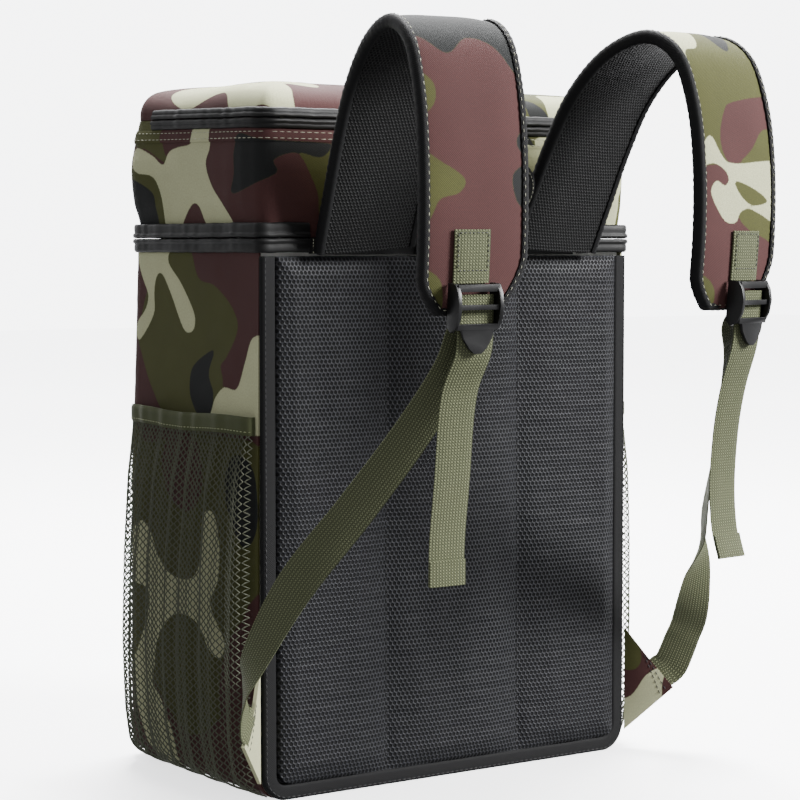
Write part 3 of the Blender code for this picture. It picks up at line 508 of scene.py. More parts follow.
def foil_material(name):
    """Wrinkled silver film."""
    graph = Graph(name, 0.3, Metallic=0.85)
    place = graph.place()
    creases = graph.tree.nodes.new("ShaderNodeTexVoronoi")
    creases.feature = "DISTANCE_TO_EDGE"
    creases.inputs["Scale"].default_value = 55
    graph.put(creases.inputs["Vector"], place)
    soft = graph.noise(place, 90, 4, 0.6)
    graph.colour(graph.mix(graph.map(soft, 0.3, 0.7), linear(196, 198, 202), linear(226, 228, 230)))
    graph.rough(graph.map(soft, 0.2, 0.8, 0.22, 0.42))
    graph.bump(graph.map(creases.outputs["Distance"], 0.0, 0.12), 0.0006, 0.6)
    graph.bump(soft, 0.0008, 0.5)
    return graph.material


PAINT = {
    "camo": camo_material("camo_canvas", 0.0011, 0.17),
    "camo_strap": camo_material("camo_twill", 0.0014, 0.26),
    # The two air meshes get painted shade in their holes and a painted highlight on their thread crowns.
    "mesh": mesh_material("air_mesh", 0.0026, linear(3, 3, 4), linear(30, 31, 36)),
    "lining": mesh_material("air_mesh_fine", 0.0021, linear(1, 1, 1), linear(8, 8, 9)),
    "webbing": webbing_material("olive_webbing", linear(104, 108, 80), linear(42, 45, 30)),
    "binding": tape_material("black_binding", linear(15, 15, 16), 0.0012),
    "hem": tape_material("olive_elastic", linear(62, 66, 44), 0.0013),
    "cord": tape_material("pull_tape", linear(30, 30, 33), 0.0010),
    "black": plain_material("black_polyester", linear(16, 16, 17), 0.85, 1300, 0.2, 0.00015),
    "rubber": plain_material("zip_coating", linear(10, 10, 10), 0.58, 900, 0.1, 0.00006, 0.15, Specular_IOR_Level=0.22),
    "plastic": plain_material("buckle_plastic", linear(13, 13, 14), 0.42, 700, 0.06, 0.00005, 0.08, Specular_IOR_Level=0.3),
    "metal": plain_material("slider_enamel", linear(30, 30, 33), 0.3, 500, 0.05, 0.00003, 0.1, Metallic=0.6),
    "net": plain_material("pocket_net_yarn", linear(66, 69, 54), 0.7, 1500, 0.2, 0.0001, 0.1),
    "foam": plain_material("white_foam", linear(226, 226, 220), 0.9, 600, 0.05, 0.0003),
    "board": plain_material("stiffener", linear(60, 60, 62), 0.7, 400, 0.1, 0.0001),
    "thread_light": plain_material("pale_thread", linear(150, 150, 132), 0.7, 1500, 0.15, 0.0001),
    "thread_dark": plain_material("dark_thread", linear(34, 34, 36), 0.7, 1500, 0.15, 0.0001),
    "thread_olive": plain_material("olive_thread", linear(128, 134, 98), 0.7, 1500, 0.15, 0.0001),
    "foil": foil_material("foil_film"),
}


def finish_piece(piece, slot, *nodes):
    """Hides the CAD nodes that a piece stands for. The slot is not used."""
    if nodes:
        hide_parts(*nodes)
    return piece


# ---------------------------------------------------------------- the body's outline


def swell(z):
    """How much of the lower compartment's belly is there at a height."""
    return np.interp(z, (0.0, 0.06, 0.20, SEAM_Z), (0.8, 1.0, 0.75, 0.0))


def under_curve(z):
    """How far the walls have curled in under the bag at a height."""
    inside = np.clip(BOTTOM_RADIUS - z, 0, BOTTOM_RADIUS)
    return BOTTOM_RADIUS - np.sqrt(BOTTOM_RADIUS**2 - inside**2)


def lower_half(z):
    """The lower compartment's half width at a height."""
    return HALF + 0.002 * swell(z) - under_curve(z)


def lower_front(z):
    """The y of the lower compartment's front at a height."""
    return DEPTH / 2 + 0.010 * swell(z) - under_curve(z)


def wrap(half, front, back, back_radius, front_radius, end_x=None):
    """A plan line round the left side, the front and the right side. It starts on the back where end_x is given."""
    f, b = front_radius, back_radius
    left = [arc((-half + b, back + b), b, 270 if end_x else 180, 180, 6)] if end_x else [np.array([[-half, back]])]
    left.append(arc((-half + f, front - f), f, 180, 90))
    line = np.concatenate(left)
    line = np.concatenate([line, line[::-1] * (-1, 1)])
    if end_x:
        line = np.concatenate([[[-end_x, back]], line, [[end_x, back]]])
    return line


# ---------------------------------------------------------------- lower compartment


def make_lower_shell():
    """The printed canvas round both sides and the front, curling in under the bag."""
    start_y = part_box("left_side_panel")[0][1]
    heights = np.concatenate([np.linspace(0, BOTTOM_RADIUS, 9)[:-1], np.linspace(BOTTOM_RADIUS, ZIP_SPLIT_Z, 150)])
    columns = 280
    outer, inner, cloth = [], [], []
    for z in heights:
        for offset, rows in ((0.0, outer), (FABRIC, inner)):
            half, front = float(lower_half(z)) - offset, float(lower_front(z)) - offset
            line, along = resample(wrap(half, front, start_y, 0, CORNER_FRONT - offset), columns)
            rows.append(np.column_stack([line, np.full(columns, z)]))
        cloth.append(np.column_stack([along + start_y - BACK_Y, np.full(columns, z), np.zeros(columns)]))
    outer, inner, cloth = np.array(outer), np.array(inner), np.array(cloth)
    flat = outer.reshape(-1, 3)
    centre = np.array([0.0, 0.01])
    way = unit(flat[:, :2] - centre)
    fade = np.clip((flat[:, 2] - 0.004) / 0.03, 0, 1) * np.clip((SEAM_Z - flat[:, 2]) / 0.02, 0, 1)
    fade *= np.clip((flat[:, 1] - start_y) / 0.02, 0, 1)
    dent = ripple(flat * (1, 1, 0.6), 0.055, 0.0016) + ripple(flat * (1, 1, 2.2), 0.022, 0.0005, 4.0)
    near_zip = np.exp(-((SEAM_Z - flat[:, 2]) / 0.012) ** 2)
    dent -= 0.0009 * near_zip * (1 + ripple(flat * (1, 1, 0.2), 0.009, 1.2, 9.0))
    shift = np.maximum(dent * fade, -0.0001)[:, None] * way
    moved = flat.copy()
    moved[:, :2] += shift
    inner = inner.reshape(-1, 3).copy()
    inner[:, :2] += shift
    vertices, faces = shell(moved.reshape(outer.shape), inner.reshape(outer.shape))
    uv = np.concatenate([cloth.reshape(-1, 3)] * 2)
    total = uv[:, 0].max() * 1000
    shapes = scattered((205, 0), (total, 360), 11) + LOWER_SIDE
    fields = camouflage(uv[:, :2] * 1000, "maroon", shapes)
    piece = new_object("body_canvas", vertices, faces, PAINT["camo"], "main_body", {"cloth": uv, **fields})
    return finish_piece(piece, "camo_polyester", "front_panel", "left_side_panel", "right_side_panel")


def back_depth(x, z):
    """How far the quilted back pad stands out at a place."""
    chamber = np.abs(np.abs(x) - 0.0)
    seams = np.minimum(np.abs(np.abs(x) - 0.055), 0.05)
    puff = 0.0056 * (1 - np.exp(-((seams / 0.016) ** 1.1)))
    edge = np.minimum(HALF - 0.010 - chamber, np.minimum(z - 0.010, SEAM_Z - z))
    return (puff + 0.0002) * np.clip(edge / 0.012, 0, 1) ** 0.5


def make_back_pad():
    """The air-mesh back pad with its two sewn channels."""
    edge = 0.0102
    columns, rows = 190, 230
    radius = BOTTOM_RADIUS - 0.006
    u = np.linspace(-1, 1, columns)
    z = np.linspace(edge, SEAM_Z - 0.0003, rows)
    corner = np.clip(radius - (z - edge), 0, radius)
    half = HALF - edge - (radius - np.sqrt(radius**2 - corner**2))
    x = half[:, None] * u[None, :]
    zz = np.repeat(z[:, None], columns, axis=1)
    depth = back_depth(x, zz)
    face = np.stack([x, BACK_Y - depth, zz], axis=-1)
    bumpy = ripple(face.reshape(-1, 3) * (1.6, 1, 0.5), 0.03, 0.0009, 2.0).reshape(depth.shape)
    bumpy += ripple(face.reshape(-1, 3) * (0.4, 1, 3), 0.012, 0.0004, 5.0).reshape(depth.shape)
    face[..., 1] -= bumpy * np.clip(depth / 0.002, 0, 1)
    behind = face.copy()
    behind[..., 1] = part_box("back_pad")[1][1]
    vertices, faces = shell(face, behind)
    cloth = np.stack([x, zz, np.zeros_like(x)], axis=-1).reshape(-1, 3)
    piece = new_object("back_mesh_pad", vertices, faces, PAINT["mesh"], "main_body", {"cloth": np.concatenate([cloth] * 2)})
    return finish_piece(piece, "air_mesh", "back_pad")


def strip_along(name, path, across, out, width, thick, material, body, rows=7):
    """A flat tape along a path of points: across is its width direction, out its upper side."""
    across, out = unit(across), unit(out)
    count = len(path)
    t = np.linspace(-1, 1, rows)
    crown = thick * (0.55 + 0.45 * np.sqrt(np.clip(1 - t**6, 0, 1)))
    top = path[:, None, :] + across[:, None, :] * (t * width / 2)[None, :, None] + out[:, None, :] * crown[None, :, None]
    low = path[:, None, :] + across[:, None, :] * (t * width / 2)[None, :, None]
    rings = np.concatenate([top, low[:, ::-1]], axis=1)
    along = np.concatenate([[0], np.cumsum(np.linalg.norm(np.diff(path, axis=0), axis=1))])
    u = np.concatenate([t, t[::-1]]) * width / 2
    cloth = np.stack(
        [np.repeat(u[None, :], count, axis=0), np.repeat(along[:, None], 2 * rows, axis=1), np.zeros((count, 2 * rows))], axis=-1
    )
    vertices, faces = tube(rings)
    return new_object(name, vertices, faces, material, body, {"cloth": cloth.reshape(-1, 3)})


def stitches(name, lines, material, body, length=0.0028, gap=0.0012, thick=0.00035):
    """Rows of single stitches. Each line is (points, outward directions)."""
    vertices, faces = [], []
    for points, outs in lines:
        points, outs = np.asarray(points, float), np.asarray(outs, float)
        steps = np.concatenate([[0], np.cumsum(np.linalg.norm(np.diff(points, axis=0), axis=1))])
        for start in np.arange(gap / 2, steps[-1] - length, length + gap):
            ends = np.array([np.interp(start + d, steps, points[:, k]) for d in (0, length / 2, length) for k in range(3)]).reshape(3, 3)
            out = unit([np.interp(start, steps, outs[:, k]) for k in range(3)])
            along = unit(ends[2] - ends[0])
            side = np.cross(along, out)
            first = len(vertices)
            for point, lift, size in zip(ends, (-0.2, 0.5, -0.2), (0.45, 1.0, 0.45)):
                for angle in (0, 72, 144, 216, 288):
                    a = math.radians(angle)
                    ring = side * math.cos(a) + out * math.sin(a)
                    vertices.append(point + out * lift * thick + ring * thick * size)
            for row in (0, 5):
                for k in range(5):
                    a, b = first + row + k, first + row + (k + 1) % 5
                    faces.append([a, b, b + 5, a + 5])
            faces.append([first + k for k in range(5)])
            faces.append([first + 10 + k for k in range(5)][::-1])
    return new_object(name, vertices, faces, material, body, sharp=80)


def make_back_binding():
    """The tape that binds the back pad's sides and bottom, and its line of stitches."""
    width, depth = 0.0108, 0.0035
    inset = width / 2 - 0.0002
    half, low, radius = HALF - inset, inset, BOTTOM_RADIUS - inset
    left = np.concatenate([[(-half, SEAM_Z)], arc((-half + radius, low + radius), radius, 180, 270)])
    line = np.concatenate([left, left[::-1] * (-1, 1)])
    line, along = resample(line, 420)
    tangent = unit(np.gradient(line, axis=0))
    path = np.column_stack([line[:, 0], np.full(len(line), BACK_Y + 0.0024), line[:, 1]])
    across = np.column_stack([tangent[:, 1], np.zeros(len(line)), -tangent[:, 0]])
    out = np.tile((0.0, -1.0, 0.0), (len(line), 1))
    piece = strip_along("back_edge_binding", path, across, out, width, depth, PAINT["binding"], "main_body", 9)
    finish_piece(piece, "black_polyester", "back_binding")
    inner = path + across * (width / 2 - 0.0022) - (0, 0.0024 + 0.0012, 0)
    threads = stitches("back_edge_stitches", [(inner, out)], PAINT["thread_dark"], "main_body")
    finish_piece(threads, "black_polyester")
    seams = []
    for x in (-0.055, 0.055):
        z = np.linspace(0.014, SEAM_Z - 0.006, 60)
        y = BACK_Y - back_depth(np.full(60, x), z) - 0.0003
        seams.append((np.column_stack([np.full(60, x), y, z]), np.tile((0.0, -1.0, 0.0), (60, 1))))
    finish_piece(stitches("back_channel_stitches", seams, PAINT["thread_dark"], "main_body"), "black_polyester")


# ---------------------------------------------------------------- zips


def swept_band(name, plan, profile, heights, material, body, lift=None):
    """A band swept round a plan line. The profile lists (distance out, height)."""
    line, along = resample(np.asarray(plan), 330)
    tangent = unit(np.gradient(line, axis=0))
    normal = np.column_stack([-tangent[:, 1], tangent[:, 0]])
    rings = []
    for point, way, s in zip(line, normal, along):
        waver = 0.0004 * noise.noise(Vector((s * 40, heights, 0))) + 0.0003 * noise.noise(Vector((s * 160, 3, heights)))
        ring = []
        for d, z in profile:
            rise = lift(point[0], point[1], z) if lift else z
            ring.append((point[0] + way[0] * (d + waver), point[1] + way[1] * (d + waver), rise + waver))
        rings.append(ring)
    vertices, faces = tube(np.array(rings))
    cloth = np.array([(along[i // len(profile)], profile[i % len(profile)][1], 0) for i in range(len(vertices))])
    return new_object(name, vertices, faces, material, body, {"cloth": cloth})


def tape_profile(low, high, proud, lip_high, inner=0.0003):
    """The section of one half of a coated zip: a flat tape with a rounded lip along the split."""
    lip = high if lip_high else low
    foot = low if lip_high else high
    way = 1 if lip_high else -1
    points = [
        (inner, lip),
        (proud * 0.55, lip),
        (proud * 0.92, lip - way * 0.0004),
        (proud * 1.08, lip - way * 0.0014),
        (proud * 1.05, lip - way * 0.0026),
        (proud * 0.74, lip - way * 0.0034),
        (proud * 0.72, lip - way * 0.0040),
        (proud * 0.80, (lip + foot) / 2 - way * 0.0006),
        (proud * 0.80, foot + way * 0.0018),
        (proud * 0.66, foot + way * 0.0006),
        (proud * 0.40, foot),
        (inner, foot),
    ]
    return points


def make_main_zip():
    """Both coated tapes of the zip that runs round the body, with the end tabs' tape and stitches."""
    half, front = HALF, DEPTH / 2
    plan = wrap(half, front, BACK_Y, CORNER_BACK, CORNER_FRONT, ZIP_END_X)
    low = tape_profile(ZIP_LOW_Z - 0.0002, ZIP_SPLIT_Z - 0.0001, 0.0032, True)
    piece = swept_band("main_zip_lower_band", plan, low, 1.0, PAINT["rubber"], "main_body")
    finish_piece(piece, "zip_rubber", "main_zip_lower_tape")
    high = tape_profile(ZIP_SPLIT_Z + 0.0003, ZIP_TOP_Z + 0.0002, 0.0032, False, -0.0020)
    piece = swept_band("main_zip_upper_band", plan, high, 1.0, PAINT["rubber"], "upper_section")
    finish_piece(piece, "zip_rubber", "main_zip_upper_tape")
    for side, sign in SIDES.items():
        x = sign * (ZIP_END_X - 0.0052)
        z = np.linspace(ZIP_LOW_Z - 0.001, ZIP_SPLIT_Z, 12)
        path = np.column_stack([np.full(12, x), np.full(12, BACK_Y - 0.0005), z])
        across, out = np.tile((1.0, 0, 0), (12, 1)), np.tile((0, -1.0, 0), (12, 1))
        piece = strip_along("zip_end_tape_" + side, path, across, out, 0.0100, 0.0022, PAINT["binding"], "main_body")
        finish_piece(piece, "black_polyester", "zip_end_" + side)
        line = path - (sign * -0.003, 0.0026, 0)
        finish_piece(
            stitches("zip_end_stitches_" + side, [(line, out)], PAINT["thread_light"], "main_body", 0.0014, 0.0006),
            "black_polyester",
        )


# ---------------------------------------------------------------- side pockets

POCKET_BULGE = [(0.002, 0.0012), (0.005, 0.0042), (0.010, 0.0087), (0.018, 0.0127), (0.040, 0.0172), (0.090, 0.0200),
                (0.150, 0.0187), (0.205, 0.0142), (0.228, 0.0102), (0.2395, 0.0080)]


def pocket_point(sign, share, z, off):
    """Points of a side pocket's bag: share runs from its back edge to its front edge."""
    half = lower_half(z)
    y = POCKET_BACK_Y + (POCKET_FRONT_Y - POCKET_BACK_Y) * share
    stand = np.interp(z, *np.transpose(POCKET_BULGE)) * np.maximum(1 - np.abs(2 * share - 1) ** 4, 0) ** 0.4
    fold = np.sin(2 * math.pi * (6.5 * share + 0.12 * np.sin(9 * share + 11 * z)))
    fold += 0.6 * np.sin(2 * math.pi * (11 * share + 0.5) + 14 * z)
    pleat = 0.0014 * fold * np.clip(stand / 0.008, 0, 1) * np.clip((POCKET_TOP_Z + 0.02 - z) / 0.06, 0.12, 1)
    return np.stack([sign * (half + 0.0006 + stand + pleat + off), y, z + 0 * share], axis=-1)


def make_net(side, sign):
    """The pocket's net: wavy yarns side by side, knotted to their neighbours at every other turn."""
    yarns, turns = 70, 50
    points = turns * 4 + 1
    z = np.linspace(0.0022, POCKET_TOP_Z + 0.001, points)
    phase = np.linspace(0, turns * 2 * math.pi, points)
    wave = np.cos(phase) * 0.8 - 0.1 * np.cos(3 * phase)
    k = np.arange(yarns)
    share = (k[:, None] + 0.5 + 0.56 * np.where(k % 2, 1, -1)[:, None] * wave[None, :]) / yarns
    share = np.clip(share, 0.001, 0.999)
    zz = np.repeat(z[None, :], yarns, axis=0)
    line = pocket_point(sign, share, zz, 0.0004 + 0.0001 * np.where(k % 2, 1, -1)[:, None])
    tangent = unit(np.gradient(line, axis=1))
    out = np.broadcast_to(np.array((float(sign), 0.0, 0.0)), line.shape)
    across = unit(np.cross(tangent, out))
    out = unit(np.cross(across, tangent))
    thick = 0.00053
    corners = [line + a * thick * across + b * thick * out for a, b in ((1, 0), (0, 1), (-1, 0), (0, -1))]
    rings = np.stack(corners, axis=2)
    vertices = rings.reshape(-1, 3)
    faces = []
    for y in range(yarns):
        start = y * points * 4
        faces += quads(points, 4, True, start)
        faces += [[start, start + 1, start + 2, start + 3], [start + points * 4 - 4 + c for c in range(4)]]
    net = new_object("pocket_mesh_" + side, vertices, faces, PAINT["net"], "main_body", sharp=120)
    return finish_piece(net, "pocket_net", "pocket_net_" + side)


def make_pocket_hem(side, sign):
    """The elastic band round the pocket's mouth."""
    share = 0.5 - 0.5 * np.cos(np.linspace(0, math.pi, 90))
    middle = np.full(90, POCKET_TOP_Z + POCKET_HEM / 2)
    path = pocket_point(sign, share, np.full(90, POCKET_TOP_Z - 0.0004), 0.0)
    path[:, 2] = middle + 0.0008 * np.sin(share * 9)
    path[:, 0] += sign * ripple(path * (1, 1, 0), 0.012, 0.0004, 3.0)
    across = np.tile((0.0, 0.0, 1.0), (90, 1))
    out = np.tile((float(sign), 0.0, 0.0), (90, 1))
    piece = strip_along("pocket_edge_" + side, path, across, out, POCKET_HEM + 0.001, 0.0020, PAINT["hem"], "main_body")
    finish_piece(piece, "pocket_hem", "pocket_hem_" + side)
    line = path + (sign * 0.0019, 0, -0.0036)
    threads = stitches("pocket_edge_stitches_" + side, [(line, out)], PAINT["thread_olive"], "main_body", 0.0022, 0.0012)
    finish_piece(threads, "pocket_hem")


# ---------------------------------------------------------------- upper section and lid

UPPER_TAPER = [(0.3665, 0.0022), (0.3760, 0.0022), (0.3900, 0.0004), (0.4100, -0.0006), (0.4300, 0.0006), (0.4500, 0.0030)]
TOP_LOW_Z, TOP_SPLIT_Z, TOP_HIGH_Z, TOP_END_Y = 0.4365, 0.4432, 0.4500, 0.054


def rise(y, z):
    """A height in the upper section, lifted towards the front."""
    share = np.clip((z - ZIP_TOP_Z) / (TOP_LOW_Z - ZIP_TOP_Z), 0, 1)
    return z + 0.005 * share * (y / DEPTH + 0.5)


def upper_line(t, count, back_radius=0.011):
    """A closed plan line of the upper section, inset by t, from the back left corner round the left side."""
    half, back, front = HALF - t, BACK_Y + t - 0.0022, DEPTH / 2 - t
    b, f = max(back_radius - t, 0.002), max(CORNER_FRONT - t, 0.004)
    left = np.concatenate([arc((-half + b, back + b), b, 225, 180, 4), arc((-half + f, front - f), f, 180, 90)])
    right = left[::-1] * (-1, 1)
    corner = arc((-half + b, back + b), b, 270, 225, 4)
    line = np.concatenate([left, right, corner[-2::-1] * (-1, 1), corner])
    whole, along = resample(line, count + 1)
    return whole[:-1], along[:-1]


def make_upper_shell():
    """The soft printed wall of the upper section, with the doubled hem under the top zip and its stitches."""
    columns = 420
    heights = np.linspace(ZIP_SPLIT_Z + 0.0003, TOP_SPLIT_Z - 0.0003, 70)
    outer, cloth = [], []
    for z in heights:
        line, along = upper_line(float(np.interp(z, *np.transpose(UPPER_TAPER))), columns)
        outer.append(np.column_stack([line, rise(line[:, 1], z)]))
        total = along[-1] + along[1]
        u = np.where(along > total - 2 * HALF, along - total, along)
        cloth.append(np.column_stack([u, np.full(columns, z), np.zeros(columns)]))
    outer, cloth = np.array(outer), np.array(cloth)
    way = outer[..., :2] / np.array([HALF, DEPTH / 2])
    way = unit(np.sign(way) * np.abs(way) ** 5)
    belly = np.clip((outer[..., 2] - 0.372) / 0.016, 0, 1) * np.clip((0.450 - outer[..., 2]) / 0.030, 0, 1)
    puff = 0.0022 * belly + 0.0026 * belly * np.clip(outer[..., 0] / HALF, 0, 1)
    flat = outer.reshape(-1, 3)
    puff += (ripple(flat, 0.045, 0.0022, 6.0) + ripple(flat * (1, 1, 0.4), 0.016, 0.0007, 2.0)).reshape(puff.shape) * belly
    puff *= np.clip((outer[..., 1] - BACK_Y - 0.002) / 0.02, 0, 1)
    outer[..., :2] += way * np.maximum(puff, -0.0001)[..., None]
    inner = outer.copy()
    inner[..., :2] -= way * FABRIC
    vertices, faces = shell(outer, inner, wrap=True)
    uv = np.concatenate([cloth.reshape(-1, 3)] * 2)
    shapes = scattered((190, 360), (700, 450), 5) + scattered((-310, 360), (-112, 450), 8) + UPPER_SIDE
    fields = camouflage(uv[:, :2] * 1000, "maroon", shapes)
    piece = new_object("upper_canvas", vertices, faces, PAINT["camo"], "upper_section", {"cloth": uv, **fields})
    finish_piece(piece, "camo_polyester", "upper_wall")

    rings, seams = [], []
    hem = np.linspace(TOP_LOW_Z - 0.0085, TOP_LOW_Z - 0.0003, 9)
    for z, d in zip(hem, (0.0005, 0.0008, 0.0009, 0.0009, 0.0009, 0.0009, 0.0009, 0.0008, 0.0005)):
        row = int(np.argmin(np.abs(heights - z)))
        ring = outer[row].copy()
        ring[:, 2] = rise(ring[:, 1], z)
        ring[:, :2] += way[row] * d
        rings.append(ring)
    rings = np.array(rings)
    inside = rings.copy()
    inside[..., :2] -= way[:9] * 0.0016
    vertices, faces = shell(rings, inside, wrap=True)
    hem_uv = np.concatenate([np.stack([cloth[0, :, 0], np.full(columns, z), np.zeros(columns)], axis=-1) for z in hem])
    hem_uv = np.concatenate([hem_uv] * 2)
    fields = camouflage(hem_uv[:, :2] * 1000, "maroon", shapes)
    piece = new_object("upper_hem_band", vertices, faces, PAINT["camo"], "upper_section", {"cloth": hem_uv, **fields})
    finish_piece(piece, "camo_polyester", "upper_hem")
    for row in (2, 6):
        ring = rings[row]
        out = np.column_stack([way[row], np.zeros(columns)])
        seams.append((np.concatenate([ring, ring[:1]]), np.concatenate([out, out[:1]])))
    threads = stitches("upper_hem_stitches", seams, PAINT["thread_light"], "upper_section", 0.0034, 0.0018, 0.0003)
    finish_piece(threads, "camo_polyester")


DOME = [(0.4435, 0.0022), (0.4500, 0.0026), (0.4565, 0.0062), (0.4615, 0.0130), (0.4648, 0.0250), (0.4672, 0.0460),
        (0.4680, 0.0700)]
LID = [
    ("maroon", [(-180, 110), (-184, 0), (-180, -110), (-80, -116), (-42, -96), (-58, -60), (-36, -30), (-62, 2),
                (-44, 30), (-70, 62), (-58, 100), (-110, 114)]),
    ("cream", [(-150, 44), (-128, 46), (-112, 28), (-104, 4), (-92, -22), (-86, -46), (-98, -70), (-116, -60),
               (-128, -84), (-150, -104), (-168, -60), (-150, -30), (-164, 10)]),
    ("olive", [(-124, -40), (-110, -26), (-102, -4), (-104, 16), (-114, 8), (-124, -14)]),
    ("maroon", [(-86, -54), (-60, -60), (-50, -76), (-54, -104), (-92, -104), (-88, -76)]),
    ("maroon", [(-164, 96), (-150, 56), (-112, 50), (-84, 62), (-70, 100)]),
    ("cream", [(96, -60), (120, -66), (150, -60), (166, -76), (160, -104), (100, -104), (88, -84)]),
]


def make_lid():
    """The domed lid's printed cover."""
    columns = 300
    table = smooth_line(DOME, 4)
    rings = [(z, t) for z, t in table]
    rings += [(0.4681 + 0.0002 * k, 0.0700 + 0.0035 * k) for k in range(1, 4)]
    outer, cloth = [], []
    for z, t in rings:
        line, _ = upper_line(t, columns)
        outer.append(np.column_stack([line, rise(line[:, 1], z)]))
        drop = max(0.468 - z, 0) * 0.8
        reach = unit(line) * drop
        cloth.append(np.column_stack([line + reach, np.zeros(columns)]))
    outer, cloth = np.array(outer), np.array(cloth)
    flat = outer.reshape(-1, 3)
    soft = np.clip((flat[:, 2] - 0.452) / 0.008, 0, 1)
    flat[:, 2] += ripple(flat * (1, 1, 0), 0.06, 0.0022, 3.0) * soft + 0.0010 * soft
    outer = flat.reshape(outer.shape)
    inner = outer.copy()
    inner[..., 2] -= 0.0012
    inner[:5, :, :2] *= 0.992
    vertices, faces = shell(outer, inner, wrap=True)
    size, last = outer.shape[0] * columns, (outer.shape[0] - 1) * columns
    cap = [last + k for k in range(columns)]
    faces = [f for f in faces if not (min(f) >= last and max(f) >= size and min(f) < size and max(f) >= size + last)]
    faces += [cap, [c + size for c in cap][::-1]]
    uv = np.concatenate([cloth.reshape(-1, 3)] * 2)
    shapes = scattered((-170, -100), (170, 100), 21) + LID
    fields = camouflage(uv[:, :2] * 1000, "olive", shapes)
    piece = new_object("lid_canvas", vertices, faces, PAINT["camo"], "top_lid", {"cloth": uv, **fields})
    return finish_piece(piece, "camo_polyester", "lid_cover")


def make_top_zip():
    """Both coated tapes of the lid's zip, open at the front."""
    half, back, b = HALF, BACK_Y - 0.0022, 0.011
    right = np.concatenate([[(half, TOP_END_Y)], arc((half - b, back + b), b, 0, -90, 8)])
    plan = np.concatenate([right, right[::-1] * (-1, 1)])
    for name, low, high, lip, body, node in (
        ("top_zip_lower_band", TOP_LOW_Z, TOP_SPLIT_Z - 0.0001, True, "upper_section", "top_zip_lower_tape"),
        ("top_zip_upper_band", TOP_SPLIT_Z + 0.0002, TOP_HIGH_Z, False, "top_lid", "top_zip_upper_tape"),
    ):
        taper = [float(np.interp(z, *np.transpose(UPPER_TAPER))) for z in (low, high)]
        profile = tape_profile(low, high, 0.0030, lip, -0.0006)
        profile = [(d - np.interp(z, (low, high), taper) + 0.0004, z) for d, z in profile]
        piece = swept_band(name, plan, profile, 4.0, PAINT["rubber"], body, lambda x, y, z: float(rise(y, z)))
        finish_piece(piece, "zip_rubber", node)


# ---------------------------------------------------------------- straps

STRAP_LINE = [(0.0105, 0.3590), (0.0250, 0.3900), (0.0440, 0.4290), (0.0640, 0.4610), (0.0920, 0.4850),
              (0.1240, 0.4940), (0.1480, 0.4820), (0.1610, 0.4520), (0.1665, 0.4150), (0.1670, 0.3700),
              (0.1630, 0.3220)]
STRAP_X, STRAP_SPREAD, STRAP_WIDTH = 0.0765, 0.165, 0.075
STRAP_FOAM, STRAP_MESH = 0.0062, 0.0028
SPLAY = {"left": math.radians(3), "right": math.radians(8)}
LEAN = 0.0035


def strap_frames(side, count=150):
    """(centres, tangents, width directions, outward normals, distances along) of a strap."""
    sign = SIDES[side]
    line, along = resample(smooth_line(STRAP_LINE, 12), count)
    p, z = line.T
    share = np.minimum(p / 0.12, 1)
    centre = np.column_stack([sign * (STRAP_X + STRAP_SPREAD * p) - LEAN * share, BACK_Y - p, z])
    tangent = unit(np.gradient(centre, axis=0))
    turn = SPLAY[side] * share
    across = np.column_stack([np.cos(turn), sign * np.sin(turn), np.zeros(count)])
    across = unit(across - tangent * np.sum(across * tangent, axis=1)[:, None])
    normal = unit(np.cross(tangent, across))
    if normal[np.argmax(centre[:, 2])][2] < 0:
        normal = -normal
    return centre, tangent, across, normal, along


def strap_edges(along):
    """How far a strap reaches to its left and to its right."""
    to_end = along[-1] - along
    left = 0.012 * np.clip(1 - to_end / 0.020, 0, 1) ** 1.6
    right = 0.018 * np.clip(1 - to_end / 0.034, 0, 1) ** 1.6
    return STRAP_WIDTH / 2 - left, STRAP_WIDTH / 2 - right


def make_strap(side):
    """A strap's printed pad, mesh lining, bound edge and stitches."""
    centre, tangent, across, normal, along = strap_frames(side)
    left, right = strap_edges(along)
    body = "strap_" + side
    t = np.linspace(0, 1, 41)
    for name, node, paint, slot, low, high in (
        ("strap_canvas_", "strap_pad_", "camo_strap", "camo_polyester", 0.0001, STRAP_FOAM),
        ("strap_mesh_", "strap_lining_", "lining", "air_mesh", -STRAP_MESH, -0.0001),
    ):
        x = -(left - 0.0014)[:, None] * (1 - t)[None, :] + (right - 0.0014)[:, None] * t[None, :]
        crown = (1 - np.abs(2 * t - 1) ** 3.0)[None, :]
        puckers = 0.0004 * np.sin(along * 900)[:, None] * np.abs(2 * t - 1)[None, :] ** 6
        base = centre[:, None, :] + across[:, None, :] * x[..., None]
        soft = ripple(base.reshape(-1, 3), 0.03, 0.0008, 1.0 + SIDES[side]).reshape(x.shape)
        if high > 0.001:
            lift = 0.0030 + 0.0030 * crown ** 0.8 + 0.5 * puckers + 0.5 * soft - 0.0002
            top, low_side = base + normal[:, None, :] * lift[..., None], base + normal[:, None, :] * low
        else:
            lift = -0.0016 - 0.0022 * crown + puckers - 0.6 * soft
            top, low_side = base + normal[:, None, :] * high, base + normal[:, None, :] * lift[..., None]
        vertices, faces = shell(top, low_side)
        cloth = np.stack([x, np.repeat(along[:, None], 41, axis=1), np.zeros_like(x)], axis=-1)
        uv = np.concatenate([cloth.reshape(-1, 3)] * 2)
        fields = {}
        if high > 0.001:
            low_part = uv[:, 1] > 0.135
            ground = "maroon" if side == "left" else "olive"
            shapes = scattered((-50, -10), (50, 150), 31 + SIDES[side])
            shapes += STRAP_LEFT if side == "left" else STRAP_RIGHT
            fields = camouflage(uv[:, :2] * 1000, ground, shapes)
        piece = new_object(name + side, vertices, faces, PAINT[paint], body, {"cloth": uv, **fields}, 70)
        finish_piece(piece, slot, node + side)
    make_strap_binding(side, centre, across, normal, left, right, body)


